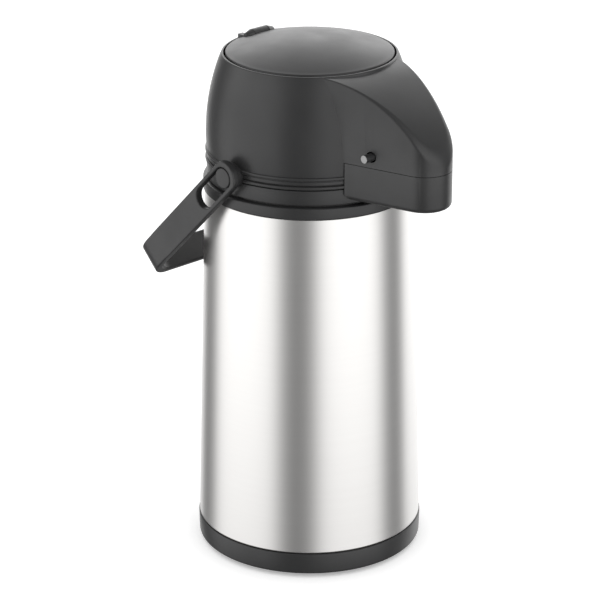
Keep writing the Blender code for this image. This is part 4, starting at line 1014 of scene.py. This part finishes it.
# (height of a direction, brightness): dim under the table, bright walls, dim ceiling
WALL_LIGHT = ((-0.67, 0.25), (-0.44, 1.18), (-0.37, 1.46), (-0.29, 1.72), (-0.15, 1.25), (0.05, 1.22),
              (0.18, 1.75), (0.28, 1.7), (0.85, 0.40))


def build_floor():
    """A wide pale floor; it catches soft shadows and stays out of the steel's reflections."""
    bm = bmesh.new()
    bmesh.ops.create_grid(bm, x_segments=1, y_segments=1, size=8.0)
    floor = linked("studio_floor", mesh_from(bm, "studio_floor"))
    floor.location.z = -0.3 * MM
    material, tree, shader = new_material("pale_floor")
    cloud = noise(tree, object_place(tree), 3.0)
    feed(tree, shader, Base_Color=tint(tree, cloud, (0.90, 0.90, 0.90), (0.92, 0.92, 0.92)), Roughness=0.9,
         Specular_IOR_Level=0.0, Emission_Color=(1.0, 1.0, 1.0, 1.0), Emission_Strength=0.3)
    floor.data.materials.append(material)
    floor.visible_glossy = False


def facing(tree, level, azimuth):
    """Cosine of the angle between a level direction and an azimuth."""
    inputs = {0: level, 1: (cos(azimuth), sin(azimuth), 0.0)}
    return add_node(tree, "ShaderNodeVectorMath", inputs, operation="DOT_PRODUCT").outputs["Value"]


def wall_brightness(tree, height):
    """Brightness of the studio's walls by height, from a ramp that holds half of each value."""
    place = ranged(tree, height, -1.0, 1.0, 0.0, 1.0)
    ramp = add_node(tree, "ShaderNodeValToRGB", {"Fac": place})
    stops = ramp.color_ramp.elements
    for direction_z, light in WALL_LIGHT:
        stops.new((direction_z + 1.0) / 2).color = (light / 2, light / 2, light / 2, 1.0)
    stops.remove(stops[0])
    stops.remove(stops[len(stops) - 1])
    half = add_node(tree, "ShaderNodeRGBToBW", {"Color": ramp.outputs["Color"]}).outputs["Val"]
    return maths(tree, "MULTIPLY", half, 2.0)


def build_world():
    """A white studio. Reflections see three upright dark panels between walls that are brightest behind."""
    world = bpy.data.worlds.new("studio")
    bpy.context.scene.world = world
    world.use_nodes = True
    tree = world.node_tree
    tree.nodes.clear()
    direction = add_node(tree, "ShaderNodeTexCoord").outputs["Generated"]
    height = add_node(tree, "ShaderNodeSeparateXYZ", {"Vector": direction}).outputs["Z"]
    level = add_node(tree, "ShaderNodeVectorMath", {0: direction, 1: (1.0, 1.0, 0.0)}, operation="MULTIPLY")
    level = add_node(tree, "ShaderNodeVectorMath", {0: level.outputs[0]}, operation="NORMALIZE").outputs[0]

    behind = ranged(tree, facing(tree, level, radians(CAMERA_TURN + 180.0)), 0.0, 0.8, 0.0, 0.35, "SMOOTHSTEP")
    above = ranged(tree, height, 0.0, 0.2, 0.0, 1.0, "SMOOTHSTEP")
    boost = maths(tree, "ADD", 1.0, maths(tree, "MULTIPLY", behind, above))
    wall = maths(tree, "MULTIPLY", wall_brightness(tree, height), boost)
    open_share = 1.0
    for turn, inner, outer in DARK_PANELS:
        toward = facing(tree, level, radians(CAMERA_TURN + turn))
        shade = ranged(tree, toward, cos(radians(outer)), cos(radians(inner)), 1.0, 0.0, "SMOOTHSTEP")
        open_share = maths(tree, "MULTIPLY", shade, open_share)
    above_dark = maths(tree, "SUBTRACT", wall, DARK_PANEL_LIGHT)
    reflected = maths(tree, "ADD", DARK_PANEL_LIGHT, maths(tree, "MULTIPLY", above_dark, open_share))

    glossy = add_node(tree, "ShaderNodeLightPath").outputs["Is Glossy Ray"]
    plain = maths(tree, "SUBTRACT", 1.0, glossy)
    strength = maths(tree, "ADD", maths(tree, "MULTIPLY", reflected, glossy), maths(tree, "MULTIPLY", plain, 1.1))
    background = add_node(tree, "ShaderNodeBackground", {"Color": (1.0, 1.0, 1.0, 1.0), "Strength": strength})
    output = add_node(tree, "ShaderNodeOutputWorld")
    tree.links.new(background.outputs["Background"], output.inputs["Surface"])


def build_camera():
    turn = radians(CAMERA_TURN)
    back = Vector((cos(turn), sin(turn), 0.0))
    right = Vector((-sin(turn), cos(turn), 0.0))
    camera = bpy.data.cameras.new("studio_camera")
    camera.lens = LENS
    camera.sensor_width = 36.0
    obj = bpy.data.objects.new("studio_camera", camera)
    obj.location = back * CAMERA_DISTANCE + right * CAMERA_SIDE + Vector((0, 0, CAMERA_HEIGHT))
    obj.rotation_euler = (radians(90.0 + CAMERA_PITCH), 0.0, turn + radians(90.0))
    bpy.context.scene.collection.objects.link(obj)
    bpy.context.scene.camera = obj


def build_studio():
    bpy.context.scene.view_settings.view_transform = "Standard"
    build_floor()
    build_world()
    build_camera()


# ---- everything -----------------------------------------------------------------------------------
def build_all():
    build_base()
    build_casing()
    build_flask()
    build_neck()
    build_collar()
    build_head()
    build_spout_cover()
    build_cover_screws()
    build_nozzle()
    build_shutoff_pin()
    build_lid_cup()
    build_stopper()
    build_flap("outlet_mushroom", "outlet_flap")
    build_flap("inlet_mushroom", "inlet_flap")
    build_bellows()
    build_spring()
    build_button()
    build_plunger()
    build_handle()
    finish_hidden_nodes()
    build_studio()


build_all()
